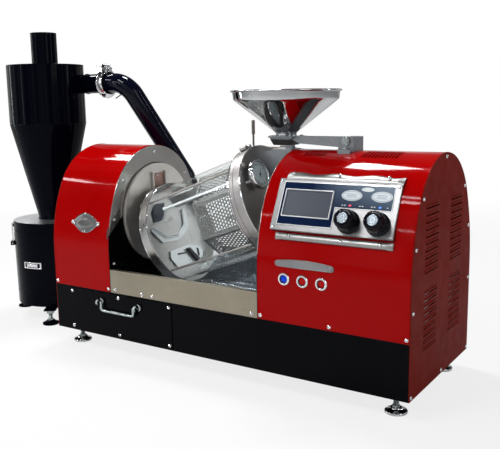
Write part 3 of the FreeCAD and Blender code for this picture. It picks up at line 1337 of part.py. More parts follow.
def hopper_collar():
    """Square funnel under the flange that guides the beans into the spout."""
    low_width = SPOUT_WIDTH
    outer = Part.makeLoft([square_face(low_width, COLLAR_LOW),
                           square_face(COLLAR_TOP_WIDTH, FLANGE_LOW)], True)
    inner = Part.makeLoft([square_face(low_width - 2 * COLLAR_SHEET, COLLAR_LOW),
                           square_face(COLLAR_TOP_WIDTH - 2 * COLLAR_SHEET, FLANGE_LOW)], True)
    return outer.cut(inner)


def flange_plate():
    """Plate under the hopper, with a pointed left end and a hole for the beans."""
    half = FLANGE_WIDTH / 2
    left = SPOUT_CENTRE - FLANGE_POINT
    right = SPOUT_CENTRE + FLANGE_LENGTH / 2
    points = [vec(left, MIDDLE, FLANGE_LOW), vec(left + half / 2, MIDDLE - half, FLANGE_LOW),
              vec(right, MIDDLE - half, FLANGE_LOW), vec(right, MIDDLE + half, FLANGE_LOW),
              vec(left + half / 2, MIDDLE + half, FLANGE_LOW)]
    plate = closed_face(points).extrude(vec(0, 0, FLANGE_SHEET))
    return plate.cut(rod_z(FLANGE_LOW, FLANGE_LOW + FLANGE_SHEET, SPOUT_CENTRE, MIDDLE,
                           HOPPER_NECK_RADIUS - HOPPER_SHEET))


def lever_axis():
    return vec(SPOUT_CENTRE - FLANGE_POINT, MIDDLE + LEVER_BACK,
               FLANGE_LOW + FLANGE_SHEET - LEVER_DROP)


def lever_bracket():
    """Tongue of the flange plate that reaches back and down to the bearing boss of the lever."""
    axis = lever_axis()
    back = axis.y + LEVER_BOSS_RADIUS
    tongue = block(axis.x - LEVER_BOSS_RADIUS, axis.x + 2 * LEVER_BOSS_RADIUS,
                   MIDDLE + FLANGE_WIDTH / 4, back, FLANGE_LOW, FLANGE_LOW + FLANGE_SHEET)
    web = block(axis.x - LEVER_BOSS_RADIUS, axis.x + 2 * LEVER_BOSS_RADIUS,
                back - FLANGE_SHEET, back, axis.z, FLANGE_LOW + FLANGE_SHEET)
    bridge = block(axis.x - LEVER_BOSS_RADIUS, SPOUT_CENTRE, MIDDLE + FLANGE_WIDTH / 4,
                   MIDDLE + FLANGE_WIDTH / 2, FLANGE_LOW, FLANGE_LOW + FLANGE_SHEET)
    boss = rod_x(axis.x - LEVER_BOSS_RADIUS, axis.x + 2 * LEVER_BOSS_RADIUS, axis.y, axis.z,
                 LEVER_BOSS_RADIUS)
    bore = rod_x(axis.x - LEVER_BOSS_RADIUS, axis.x + 2 * LEVER_BOSS_RADIUS, axis.y, axis.z,
                 LEVER_ROD_RADIUS + AXLE_FIT)
    bridge = bridge.cut(rod_z(FLANGE_LOW, FLANGE_LOW + FLANGE_SHEET, SPOUT_CENTRE, MIDDLE,
                              HOPPER_NECK_RADIUS - HOPPER_SHEET))
    return joined([tongue, bridge, web, boss]).cut(bore)


def arm_channel():
    """Folded channel that deepens towards its pivot."""
    left = SPOUT_CENTRE + FLANGE_LENGTH / 4
    top = FLANGE_LOW
    pivot_end = PIVOT_X + ARM_DEEP / 2
    half = ARM_WIDTH / 2
    points = [vec(left, MIDDLE - half, top), vec(pivot_end, MIDDLE - half, top),
              vec(pivot_end, MIDDLE - half, top - ARM_DEEP / 2),
              vec(pivot_end - ARM_DEEP / 2, MIDDLE - half, top - ARM_DEEP),
              vec(POST_LEFT, MIDDLE - half, top - ARM_DEEP),
              vec(left + COLLAR_TOP_WIDTH / 2, MIDDLE - half, top - ARM_THIN)]
    solid = closed_face(points).extrude(vec(0, ARM_WIDTH, 0))
    trough = block(left - 1, pivot_end + 1, MIDDLE - half + ARM_SHEET,
                   MIDDLE + half - ARM_SHEET, top - 2 * ARM_DEEP, top - ARM_SHEET)
    clear = block(left - 1, SPOUT_CENTRE + COLLAR_TOP_WIDTH / 2 + GATE_FIT, MIDDLE - ARM_WIDTH,
                  MIDDLE + ARM_WIDTH, top - ARM_DEEP, top)
    return solid.cut(trough).cut(clear)


def hopper_arm():
    strap = block(SPOUT_CENTRE + FLANGE_LENGTH / 4, PIVOT_X + ARM_DEEP / 2,
                  MIDDLE - ARM_WIDTH / 2, MIDDLE + ARM_WIDTH / 2, FLANGE_LOW,
                  FLANGE_LOW + FLANGE_SHEET)
    strap = strap.cut(rod_z(FLANGE_LOW, FLANGE_LOW + FLANGE_SHEET, SPOUT_CENTRE, MIDDLE,
                            HOPPER_NECK_RADIUS - HOPPER_SHEET))
    whole = joined([flange_plate(), strap, arm_channel(), lever_bracket()])
    return whole.cut(rod_y(0, BODY_DEPTH, PIVOT_X, PIVOT_HEIGHT, PIVOT_RADIUS + PIVOT_FIT))


def arm_post():
    """Open-topped box on the crown of the heater housing that holds the arm pivot."""
    half = ARM_WIDTH / 2 + POST_GAP + POST_WALL
    top = FLANGE_LOW + FLANGE_SHEET + POST_GAP
    right = POST_LEFT + POST_LENGTH
    outer = block(POST_LEFT, right, MIDDLE - half, MIDDLE + half, CROWN_HEIGHT, top)
    foot = block(POST_LEFT, right, MIDDLE - half - POST_FOOT, MIDDLE + half, CROWN_HEIGHT,
                 BODY_HEIGHT + POST_WALL)
    room = block(POST_LEFT - 1, right - POST_WALL, MIDDLE - half + POST_WALL,
                 MIDDLE + half - POST_WALL, BODY_HEIGHT + POST_WALL, top + 1)
    whole = joined([outer, foot]).cut(room)
    whole = whole.cut(arch_solid(CHAMBER_RIGHT, BODY_LENGTH, 0, 0))
    return whole.cut(rod_y(0, BODY_DEPTH, PIVOT_X, PIVOT_HEIGHT, PIVOT_RADIUS))


def arm_pivot_pin():
    half = ARM_WIDTH / 2 + POST_GAP + POST_WALL
    pin = rod_y(MIDDLE - half, MIDDLE + half, PIVOT_X, PIVOT_HEIGHT, PIVOT_RADIUS)
    head = rod_y(MIDDLE - half - POST_WALL, MIDDLE - half, PIVOT_X, PIVOT_HEIGHT,
                 2 * PIVOT_RADIUS)
    return joined([pin, head])


def arm_stop():
    x = POST_LEFT - 3 * STOP_RADIUS
    top = FLANGE_LOW - ARM_SHEET - STOP_GAP
    pin = rod_z(CROWN_HEIGHT, top, x, MIDDLE, STOP_RADIUS)
    base = rod_z(CROWN_HEIGHT, BODY_HEIGHT + POST_WALL, x, MIDDLE, 2 * STOP_RADIUS)
    return joined([pin, base]).cut(arch_solid(CHAMBER_RIGHT, BODY_LENGTH, 0, 0))


def charge_lever():
    """Bent rod lever with a grip: it turns in the boss behind the flange plate."""
    axis = lever_axis()
    left = axis.x - LEVER_SHAFT_LENGTH
    right = axis.x + 3 * LEVER_BOSS_RADIUS
    top = axis.z + LEVER_HEIGHT
    shaft = rod_x(left, right, axis.y, axis.z, LEVER_ROD_RADIUS)
    upright = rod_z(axis.z, top, left, axis.y, LEVER_ROD_RADIUS)
    elbow = Part.makeSphere(LEVER_ROD_RADIUS, vec(left, axis.y, axis.z))
    grip = rod_z(top - LEVER_GRIP_LENGTH, top, left, axis.y, LEVER_GRIP_RADIUS)
    collar = rod_x(axis.x - 2 * LEVER_BOSS_RADIUS, axis.x - LEVER_BOSS_RADIUS - GATE_FIT,
                   axis.y, axis.z, LEVER_COLLAR_RADIUS)
    return joined([shaft, upright, elbow, grip, collar])


# ---------------------------------------------------------------- cyclone and chaff bin

def cyclone_cone():
    """Neck that stands on the bin's lid and the cone above it."""
    wall = CYCLONE_SHEET
    points = [vec(CYCLONE_NECK_RADIUS, 0, LID_TOP), vec(CYCLONE_NECK_RADIUS, 0, CONE_BASE),
              vec(CYCLONE_RADIUS, 0, CYCLONE_BASE), vec(CYCLONE_RADIUS - wall, 0, CYCLONE_BASE),
              vec(CYCLONE_NECK_RADIUS - wall, 0, CONE_BASE),
              vec(CYCLONE_NECK_RADIUS - wall, 0, LID_TOP)]
    cone = turned_profile(points, vec(0, 0, 0), vec(0, 0, 1))
    cone.translate(vec(CYCLONE_X, CYCLONE_DEPTH, 0))
    return cone


def cyclone_barrel():
    """Cylinder of the cyclone with the stub that the exhaust pipe is clamped to."""
    top = CYCLONE_TOP - CYCLONE_SHEET
    room = rod_z(CYCLONE_BASE, top, CYCLONE_X, CYCLONE_DEPTH, CYCLONE_RADIUS - CYCLONE_SHEET)
    wall = rod_z(CYCLONE_BASE, top, CYCLONE_X, CYCLONE_DEPTH, CYCLONE_RADIUS).cut(room)
    stub = rod_x(CYCLONE_X, stub_end(), PIPE_STUB_DEPTH, STUB_HEIGHT, PIPE_RADIUS)
    bore = rod_x(CYCLONE_X, stub_end(), PIPE_STUB_DEPTH, STUB_HEIGHT, PIPE_RADIUS - PIPE_SHEET)
    return joined([wall, stub.cut(room)]).cut(bore)


def cyclone_roof():
    """Ring that closes the cylinder round its outlet."""
    low = CYCLONE_TOP - CYCLONE_SHEET
    plate = rod_z(low, CYCLONE_TOP, CYCLONE_X, CYCLONE_DEPTH, CYCLONE_RADIUS)
    return plate.cut(rod_z(low, CYCLONE_TOP, CYCLONE_X, CYCLONE_DEPTH, DIP_RADIUS))


def outlet_pipe():
    """Open pipe on the roof and the narrower dip pipe that hangs below it."""
    low = CYCLONE_TOP - OUTLET_DEPTH
    high = CYCLONE_TOP + OUTLET_HEIGHT
    upper = rod_z(CYCLONE_TOP, high, CYCLONE_X, CYCLONE_DEPTH, OUTLET_RADIUS)
    lower = rod_z(low, CYCLONE_TOP, CYCLONE_X, CYCLONE_DEPTH, DIP_RADIUS)
    return joined([upper, lower]).cut(
        rod_z(low, high, CYCLONE_X, CYCLONE_DEPTH, DIP_RADIUS - CYCLONE_SHEET))


def bin_lid():
    skirt = rod_z(LID_BASE, LID_TOP, CYCLONE_X, CYCLONE_DEPTH, BIN_RADIUS)
    room = rod_z(LID_BASE, LID_TOP - LID_SHEET, CYCLONE_X, CYCLONE_DEPTH, BIN_RADIUS - LID_SHEET)
    hole = rod_z(LID_TOP - LID_SHEET, LID_TOP, CYCLONE_X, CYCLONE_DEPTH,
                 CYCLONE_NECK_RADIUS - CYCLONE_SHEET)
    return skirt.cut(group([room, hole]))


def chaff_bin():
    wall = BIN_SHEET
    points = [vec(0, 0, 0), vec(BIN_BASE_RADIUS, 0, 0), vec(BIN_RADIUS, 0, LID_BASE),
              vec(BIN_RADIUS - wall, 0, LID_BASE), vec(BIN_BASE_RADIUS - wall, 0, wall),
              vec(0, 0, wall)]
    pail = turned_profile(points, vec(0, 0, 0), vec(0, 0, 1))
    pail.translate(vec(CYCLONE_X, CYCLONE_DEPTH, 0))
    return pail


def bin_foot_brackets():
    """Tabs under the rim of the bin that carry its levelling feet."""
    tabs = []
    for x, y in bin_foot_places():
        angle = math.degrees(math.atan2(y - CYCLONE_DEPTH, x - CYCLONE_X))
        tab = block(BIN_BASE_RADIUS / 2, BIN_FOOT_CIRCLE + FOOT_STEM_RADIUS * 2,
                    -BRACKET_WIDTH / 2, BRACKET_WIDTH / 2, -BRACKET_SHEET, 0)
        tab = tab.cut(rod_z(-BRACKET_SHEET, 0, BIN_FOOT_CIRCLE, 0, FOOT_STEM_RADIUS))
        tab.rotate(vec(0, 0, 0), vec(0, 0, 1), angle)
        tab.translate(vec(CYCLONE_X, CYCLONE_DEPTH, 0))
        tabs.append(tab)
    return group(tabs)


# ---------------------------------------------------------------- exhaust pipe

def stub_end():
    return CYCLONE_X + CYCLONE_RADIUS + PIPE_STUB_LENGTH


def pipe_route():
    """Corners of the pipe's centre line, from the cyclone to the drive housing."""
    upper = vec(PIPE_ELBOW_FROM_BODY, PIPE_STUB_DEPTH, STUB_HEIGHT)
    lower = vec(PIPE_END_LEFT, BODY_DEPTH + PIPE_BACK, PIPE_END_HEIGHT)
    return [vec(stub_end(), PIPE_STUB_DEPTH, STUB_HEIGHT), upper, lower,
            vec(PIPE_END_LEFT, BODY_DEPTH + PIPE_FLANGE_SHEET, PIPE_END_HEIGHT)]


def bend_radius(before, corner, after, wanted):
    """Bend radius at a corner, no larger than its two runs allow."""
    turn = (corner - before).getAngle(after - corner)
    room = PIPE_BEND_SHARE * min((corner - before).Length, (after - corner).Length)
    return min(wanted, room / math.tan(turn / 2))


def bend_places(before, corner, after, wanted):
    """Start, end and centre of the arc that rounds a corner."""
    radius = bend_radius(before, corner, after, wanted)
    arriving = (corner - before).normalize()
    leaving = (after - corner).normalize()
    half = arriving.getAngle(leaving) / 2
    setback = radius * math.tan(half)
    inward = (leaving - arriving).normalize()
    return (corner - arriving * setback, corner + leaving * setback,
            corner + inward * (radius / math.cos(half)))


def straight_tube(start, end, radius, wall):
    span = end - start
    outer = Part.makeCylinder(radius, span.Length, start, span)
    return outer.cut(Part.makeCylinder(radius - wall, span.Length, start, span))


def bent_tube(first, last, centre, arriving, radius, wall):
    """Elbow between two runs, turned about the centre of its bend."""
    rings = [Part.Wire([Part.makeCircle(size, first, arriving)]) for size in (radius, radius - wall)]
    angle = math.degrees((first - centre).getAngle(last - centre))
    axis = (first - centre).cross(last - centre)
    outer, inner = [Part.Face(ring).revolve(centre, axis, angle) for ring in rings]
    return outer.cut(inner)


def exhaust_pipe():
    """Straight runs and elbows from the cyclone to the drive housing."""
    route = pipe_route()
    pieces = []
    start = route[0]
    for before, corner, after in zip(route, route[1:], route[2:]):
        first, last, centre = bend_places(before, corner, after, PIPE_BEND_RADIUS)
        pieces.append(straight_tube(start, first, PIPE_RADIUS, PIPE_SHEET))
        pieces.append(bent_tube(first, last, centre, corner - before, PIPE_RADIUS, PIPE_SHEET))
        start = last
    pieces.append(straight_tube(start, route[-1], PIPE_RADIUS, PIPE_SHEET))
    return group(pieces)


def pipe_socket():
    """Collar that seats the pipe on the curved rear skin of the drive housing."""
    x = PIPE_END_LEFT
    z = PIPE_END_HEIGHT
    collar = rod_y(MIDDLE, BODY_DEPTH + PIPE_FLANGE_SHEET, x, z, PIPE_RADIUS + SOCKET_RIM / 2)
    rim = rod_y(BODY_DEPTH, BODY_DEPTH + PIPE_FLANGE_SHEET, x, z, PIPE_RADIUS + SOCKET_RIM)
    bore = rod_y(MIDDLE, BODY_DEPTH + PIPE_FLANGE_SHEET, x, z, PIPE_RADIUS - PIPE_SHEET)
    return joined([collar, rim]).cut(bore).cut(arch_solid(0, CHAMBER_LEFT, 0, 0))


def clamp_centre():
    return vec(stub_end(), PIPE_STUB_DEPTH, STUB_HEIGHT)


def pipe_clamp():
    """V-band that ties the pipe to the stub of the cyclone, with lugs for its lever."""
    centre = clamp_centre()
    outer = PIPE_RADIUS + CLAMP_SHEET
    half = CLAMP_WIDTH / 2
    band = tube_x(centre.x - half, centre.x + half, centre.y, centre.z, outer, CLAMP_SHEET)
    rim = tube_x(centre.x - half / 3, centre.x + half / 3, centre.y, centre.z,
                 PIPE_FLANGE_RADIUS, PIPE_FLANGE_RADIUS - outer + 1)
    lugs = [block(centre.x - half, centre.x + half, y, y + CLAMP_SHEET,
                  centre.z + outer - 1, centre.z + PIPE_FLANGE_RADIUS + 3 * CLAMP_SHEET)
            for y in (centre.y - 2.5 * CLAMP_SHEET, centre.y + 1.5 * CLAMP_SHEET)]
    whole = joined([band, rim] + lugs)
    return whole.cut(rod_y(0, 2 * BODY_DEPTH, centre.x, clamp_pivot_height(),
                           CLAMP_LEVER_SHEET + AXLE_FIT))


def clamp_pivot_height():
    return STUB_HEIGHT + PIPE_FLANGE_RADIUS + 1.5 * CLAMP_SHEET


def clamp_lever():
    """Over-centre handle of the clamp, lying along the pipe when it is shut."""
    centre = clamp_centre()
    z = clamp_pivot_height()
    half = 2.5 * CLAMP_SHEET
    pin = rod_y(centre.y - half, centre.y + half, centre.x, z, CLAMP_LEVER_SHEET)
    blade = block(centre.x - CLAMP_LEVER_LENGTH, centre.x, centre.y - CLAMP_SHEET,
                  centre.y + CLAMP_SHEET, z, z + CLAMP_LEVER_SHEET)
    root = rod_y(centre.y - CLAMP_SHEET, centre.y + CLAMP_SHEET, centre.x, z,
                 CLAMP_LEVER_SHEET * 1.5)
    return joined([pin, blade, root])


# ---------------------------------------------------------------- bin latch

def latch_placed(shape):
    """Carry a shape from the latch's own place (X outwards, Z up) to the side of the bin."""
    placed = shape.copy()
    placed.rotate(vec(0, 0, 0), vec(0, 0, 1), LATCH_TURN)
    placed.translate(vec(CYCLONE_X, CYCLONE_DEPTH, LID_BASE))
    return placed


LATCH_PIVOT_OUT = BIN_RADIUS + 2 * LATCH_SHEET
LATCH_PIVOT_DROP = LATCH_LENGTH


def bin_round(low, high):
    """Solid of the outside of the bin and its lid, in the latch's own place."""
    slope = (BIN_RADIUS - BIN_BASE_RADIUS) / BIN_HEIGHT
    points = [vec(0, 0, low), vec(BIN_RADIUS + slope * low, 0, low), vec(BIN_RADIUS, 0, 0),
              vec(BIN_RADIUS, 0, high), vec(0, 0, high)]
    return turned_profile(points, vec(0, 0, 0), vec(0, 0, 1))


def latch_mount():
    """Ears on the bin for the latch lever, and the catch on the lid."""
    half = LATCH_WIDTH / 2
    low = -LATCH_PIVOT_DROP
    ears = []
    for y in (-half - LATCH_SHEET, half):
        ears.append(block(BIN_BASE_RADIUS, LATCH_PIVOT_OUT + 2 * LATCH_SHEET, y, y + LATCH_SHEET,
                          low - 2 * LATCH_SHEET, low + 2 * LATCH_SHEET))
    catch = block(BIN_BASE_RADIUS, BIN_RADIUS + LATCH_SHEET, -half, half,
                  LID_HEIGHT / 4, LID_HEIGHT / 2)
    pieces = [ear.cut(bin_round(-BIN_HEIGHT / 2, LID_HEIGHT)) for ear in ears]
    bore = rod_y(-LATCH_WIDTH, LATCH_WIDTH, LATCH_PIVOT_OUT, low, LATCH_SHEET / 2 + AXLE_FIT)
    pieces = [piece.cut(bore) for piece in pieces]
    pieces.append(catch.cut(bin_round(-BIN_HEIGHT / 2, LID_HEIGHT)))
    return latch_placed(group(pieces))


def bin_latch():
    """Lever that swings out from the bin and hooks over the catch on the lid."""
    half = LATCH_WIDTH / 2
    low = -LATCH_PIVOT_DROP
    inner = BIN_RADIUS + LATCH_SHEET + LID_GAP
    top = LID_HEIGHT / 2 + LID_GAP
    arm = block(inner, inner + LATCH_SHEET, -half + LID_GAP, half - LID_GAP, low, top + LATCH_SHEET)
    hook = block(BIN_RADIUS + LID_GAP, inner, -half + LID_GAP, half - LID_GAP,
                 top, top + LATCH_SHEET)
    pin = rod_y(-half - LATCH_SHEET, half + LATCH_SHEET, LATCH_PIVOT_OUT, low, LATCH_SHEET / 2)
    root = rod_y(-half + LID_GAP, half - LID_GAP, LATCH_PIVOT_OUT, low, LATCH_SHEET - LID_GAP)
    return latch_placed(joined([arm, hook, root, pin]))


# ---------------------------------------------------------------- fasteners

def screw_head():
    return dome(SCREW_HEAD_RADIUS, SCREW_HEAD_HEIGHT)


def front_screws():
    """Heads along the front: covers, tray panels and access cover."""
    height = BASE_HEIGHT + SCREW_MARGIN
    seam = CHAMBER_LEFT + TRAY_SEAM_OFFSET
    mid_right = (CHAMBER_RIGHT + BODY_LENGTH) / 2
    spots = [(x, 0, height) for x in (
        SCREW_MARGIN, CHAMBER_LEFT - SCREW_MARGIN, CHAMBER_LEFT + 2 * SCREW_MARGIN,
        seam - SCREW_MARGIN, seam + 3 * SCREW_MARGIN, CHAMBER_RIGHT - 2 * SCREW_MARGIN,
        CHAMBER_RIGHT + SCREW_MARGIN, mid_right, BODY_LENGTH - SCREW_MARGIN)]
    right = ACCESS_LEFT + ACCESS_LENGTH
    for x in (ACCESS_LEFT + SCREW_MARGIN, (ACCESS_LEFT + right) / 2, right - SCREW_MARGIN):
        for z in (ACCESS_MARGIN + SCREW_MARGIN, DECK_HEIGHT - ACCESS_MARGIN - SCREW_MARGIN):
            spots.append((x, -ACCESS_SHEET, z))
    return [aimed(screw_head(), vec(*spot), vec(0, -1, 0)) for spot in spots]


def back_screws():
    height = BASE_HEIGHT + SCREW_MARGIN
    spots = [SCREW_MARGIN, CHAMBER_LEFT - SCREW_MARGIN, CHAMBER_RIGHT + SCREW_MARGIN,
             BODY_LENGTH - SCREW_MARGIN, (CHAMBER_LEFT + CHAMBER_RIGHT) / 2]
    return [aimed(screw_head(), vec(x, BODY_DEPTH, height), vec(0, 1, 0)) for x in spots]


def end_screws():
    """Heads round both end panels."""
    crown_side = BODY_HEIGHT - CROWN_RADIUS / 2
    spots = [(SCREW_MARGIN, SCREW_MARGIN), (MIDDLE, SCREW_MARGIN),
             (BODY_DEPTH - SCREW_MARGIN, SCREW_MARGIN), (MIDDLE, BODY_HEIGHT - SCREW_MARGIN)]
    for z in (STRAIGHT_HEIGHT - 5 * SCREW_MARGIN, AXIS_HEIGHT, crown_side):
        depth = skin_depth(z) + 1.5 * SCREW_MARGIN
        spots += [(depth, z), (BODY_DEPTH - depth, z)]
    heads = [aimed(screw_head(), vec(BODY_LENGTH, y, z), vec(1, 0, 0)) for y, z in spots]
    return heads + [aimed(screw_head(), vec(0, y, z), vec(-1, 0, 0)) for y, z in spots]


def face_screws():
    """Heads on the two face plates that look into the chamber."""
    spots = [(MIDDLE, BODY_HEIGHT - 2 * SCREW_MARGIN)]
    for z in (BASE_HEIGHT + 9 * SCREW_MARGIN, AXIS_HEIGHT, BODY_HEIGHT - CROWN_RADIUS / 2):
        depth = skin_depth(z) + 2 * SCREW_MARGIN
        spots += [(depth, z), (BODY_DEPTH - depth, z)]
    heads = [aimed(screw_head(), vec(CHAMBER_LEFT, y, z), vec(1, 0, 0)) for y, z in spots]
    return heads + [aimed(screw_head(), vec(CHAMBER_RIGHT, y, z), vec(-1, 0, 0))
                    for y, z in spots]


def body_screws():
    return group(front_screws() + back_screws() + end_screws() + face_screws())


# ---------------------------------------------------------------- the whole machine

def machine():
    """Every sub-part by its name, in the machine's drawing place."""
    left_face = CHAMBER_LEFT - COVER_SHEET
    right_face = CHAMBER_RIGHT + COVER_SHEET
    bin_feet = bin_foot_places()
    return {
        "base_shell": base_shell(),
        "access_cover": access_cover(),
        "drop_handle": drop_handle(),
        "left_cover": left_cover(),
        "right_cover": right_cover(),
        "end_panels": group([left_end_panel(), right_end_panel()]),
        "face_plates": group([face_plate(left_face, CHAMBER_LEFT),
                              face_plate(CHAMBER_RIGHT, right_face)]),
        "lower_face_panels": group([lower_panel(left_face, CHAMBER_LEFT),
                                    lower_panel(CHAMBER_RIGHT, right_face)]),
        "cooling_tray": cooling_tray(),
        "tray_walls": group([tray_front_walls(), tray_rear_rail()]),
        "foot_pads": foot_pads(foot_places() + bin_feet),
        "foot_stems": group([foot_stems(foot_places(), 0, BASE_SHEET),
                             foot_stems(bin_feet, -BRACKET_SHEET, 0)]),
        "body_screws": body_screws(),
        "left_drum_end": left_drum_end(),
        "right_drum_end": right_drum_end(),
        "drum_glass": drum_glass(),
        "drum_cage": drum_cage(),
        "mixing_vanes": mixing_vanes(),
        "tie_rods": group([tie_rods(), rod_nuts()]),
        "drum_gauge": gauge(),
        "charging_spout": charging_spout(),
        "charge_gate": charge_gate(),
        "turning_discs": group([turning_disc(LEFT_DISC_LOW), turning_disc(RIGHT_DISC_LOW)]),
        "hollow_axles": group([axle(LEFT_AXLE_END, LEFT_DISC_LOW),
                               axle(RIGHT_DISC_LOW + DISC_SHEET, RIGHT_AXLE_END)]),
        "drum_carriers": group([carrier(-1), carrier(1)]),
        "shaft_bearings": shaft_bearings(),
        "bearing_stands": bearing_stands(),
        "drum_pulley": drum_pulley(),
        "motor_rotor": group([motor_pulley(), motor_shaft()]),
        "drive_belt": drive_belt(),
        "drive_motor": drive_motor(),
        "fan_housings": group([exhaust_fan_housing(), intake_fan_housing()]),
        "exhaust_fan_wheel": fan_wheel(EXHAUST_FAN_LEFT, EXHAUST_FAN_DEPTH, EXHAUST_FAN_HEIGHT),
        "intake_fan_wheel": fan_wheel(INTAKE_FAN_LEFT, MIDDLE, INTAKE_FAN_HEIGHT),
        "fan_motors": group([
            fan_motor(EXHAUST_FAN_LEFT, EXHAUST_FAN_DEPTH, EXHAUST_FAN_HEIGHT),
            fan_motor(INTAKE_FAN_LEFT, MIDDLE, INTAKE_FAN_HEIGHT)]),
        "exhaust_plenum": exhaust_plenum(),
        "heater_box": group([heater_box(), heater_coils()]),
        "control_box": control_box(),
        "power_inlet": power_inlet(),
        "console_frame": group([console_frame(), console_strips()]),
        "console_overlay": console_overlay(),
        "touch_screen": touch_screen(),
        "knob_left": group([knob(0), knob_cap(0)]),
        "knob_right": group([knob(1), knob_cap(1)]),
        "button_bezels": button_bezels(),
        "button_blue": button(0),
        "button_red_inner": button(1),
        "button_red_outer": button(2),
        "blank_plates": group([name_plate(), side_badge()]),
        "arm_post": group([arm_post(), arm_pivot_pin(), arm_stop()]),
        "hopper_arm": group([hopper_arm(), hopper_collar()]),
        "hopper": hopper(),
        "charge_lever": charge_lever(),
        "cyclone": group([cyclone_cone(), cyclone_barrel(), cyclone_roof(), outlet_pipe()]),
        "bin_lid": bin_lid(),
        "chaff_bin": group([chaff_bin(), bin_foot_brackets(), latch_mount()]),
        "bin_latch": bin_latch(),
        "exhaust_pipe": group([exhaust_pipe(), pipe_socket()]),
        "pipe_clamp": pipe_clamp(),
        "clamp_lever": clamp_lever(),
    }


def origin_of(parts):
    """Bottom centre of the box round every sub-part."""
    box = group(parts.values()).optimalBoundingBox(False)
    return vec((box.XMin + box.XMax) / 2, (box.YMin + box.YMax) / 2, box.ZMin)


def main():
    os.makedirs("parts", exist_ok=True)
    parts = machine()
    origin = origin_of(parts)
    for name, shape in parts.items():
        shape.translate(-origin)
        shape.exportStep("parts/" + name + ".step")
        print(name, len(shape.Solids), shape.isValid(), round(shape.Volume))
    print("nodes", len(parts), "origin", origin)


main()
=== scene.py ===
import math

import bmesh
import bpy
from mathutils import Matrix, Vector

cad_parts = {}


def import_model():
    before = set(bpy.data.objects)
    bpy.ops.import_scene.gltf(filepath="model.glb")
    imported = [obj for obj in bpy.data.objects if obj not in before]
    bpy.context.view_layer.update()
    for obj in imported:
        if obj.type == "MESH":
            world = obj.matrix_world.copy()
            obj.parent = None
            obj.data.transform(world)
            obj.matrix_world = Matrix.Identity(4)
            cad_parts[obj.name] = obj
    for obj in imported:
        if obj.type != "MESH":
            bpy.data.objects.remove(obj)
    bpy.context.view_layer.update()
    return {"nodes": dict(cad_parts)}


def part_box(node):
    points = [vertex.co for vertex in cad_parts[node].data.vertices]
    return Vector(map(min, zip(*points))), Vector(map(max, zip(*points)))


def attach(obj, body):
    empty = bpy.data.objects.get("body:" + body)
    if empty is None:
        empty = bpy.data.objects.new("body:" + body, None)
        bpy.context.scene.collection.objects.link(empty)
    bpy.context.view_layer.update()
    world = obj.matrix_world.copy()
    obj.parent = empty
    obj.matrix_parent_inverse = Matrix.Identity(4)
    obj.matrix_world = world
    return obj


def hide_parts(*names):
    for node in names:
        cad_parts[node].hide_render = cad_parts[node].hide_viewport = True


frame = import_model()
NODES = frame["nodes"]

# Lengths are millimetres in the machine's own drawing place (origin at the left front
# bottom corner of the base, X right, Y back, Z up), and are moved to the frame at the end.
SKIN = 1.5
base_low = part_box("base_shell")[0]
ORIGIN = Vector((SKIN / 1000 - base_low[0], -base_low[1], -base_low[2]))
TO_ROW = Matrix.Translation(-ORIGIN) @ Matrix.Scale(0.001, 4)


def row(x, y, z):
    return Vector((x, y, z)) / 1000 - ORIGIN


def machine_box(node):
    low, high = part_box(node)
    return (Vector(low) + ORIGIN) * 1000, (Vector(high) + ORIGIN) * 1000


# ------------------------------------------------------------------ places
FACES = machine_box("face_plates")
CHAMBER_LEFT = FACES[0].x + SKIN
CHAMBER_RIGHT = FACES[1].x - SKIN
BODY_RIGHT = machine_box("end_panels")[1].x
DEPTH = machine_box("base_shell")[1].y
MIDDLE = DEPTH / 2
TOP = FACES[1].z
AXIS = 305.0
TILT = math.radians(20.3)
HALF_DRUM = 167.0
DRUM_RADIUS = 134.0
END_FACE = -163.4
CAGE_RADIUS = 115.0
CYCLONE = Vector((-231.5, 211.0))
LID_SEAT = 224.0
BIN_RADIUS = 121.0
BIN_FOOT_RADIUS = 119.0
INLET = Vector((-58.5, 288, 654))
SPOUT_X = CHAMBER_RIGHT - 32.0
FLANGE = 509.6
DRUM = (Matrix.Translation(((CHAMBER_LEFT + CHAMBER_RIGHT) / 2, MIDDLE, AXIS))
        @ Matrix.Rotation(-TILT, 4, "Y"))

# The front skin is straight, then a wide arc, then the round crown.
SIDE_RADIUS = 385.28
CROWN_RADIUS = 165.0
STRAIGHT = 220.0
CROWN = TOP - CROWN_RADIUS
MEETING = SIDE_RADIUS * (CROWN - STRAIGHT) / (SIDE_RADIUS - CROWN_RADIUS)
MEETING_ANGLE = math.asin(MEETING / SIDE_RADIUS)
MEETING_LENGTH = SIDE_RADIUS * MEETING_ANGLE


def skin(height):
    """Depth of the front skin of the housings at a height."""
    rise = max(height - STRAIGHT, 0.0)
    if rise > MEETING:
        return MIDDLE - math.sqrt(CROWN_RADIUS ** 2 - (height - CROWN) ** 2)
    return SIDE_RADIUS - math.sqrt(SIDE_RADIUS ** 2 - rise ** 2)


def skin_normal(height):
    slope = (skin(height + 1) - skin(height - 1)) / 2
    return Vector((0, -1, slope)).normalized()


def off_skin(x, z, out):
    """Point at a distance in front of the skin."""
    return Vector((x, skin(z), z)) + skin_normal(z) * out


def walk(t):
    """Point of the front skin a distance along it from the end of its straight part."""
    if t < 0:
        return 0.0, STRAIGHT + t
    if t < MEETING_LENGTH:
        angle = t / SIDE_RADIUS
        return SIDE_RADIUS - SIDE_RADIUS * math.cos(angle), STRAIGHT + SIDE_RADIUS * math.sin(angle)
    angle = MEETING_ANGLE + (t - MEETING_LENGTH) / CROWN_RADIUS
    return MIDDLE - CROWN_RADIUS * math.cos(angle), CROWN + CROWN_RADIUS * math.sin(angle)


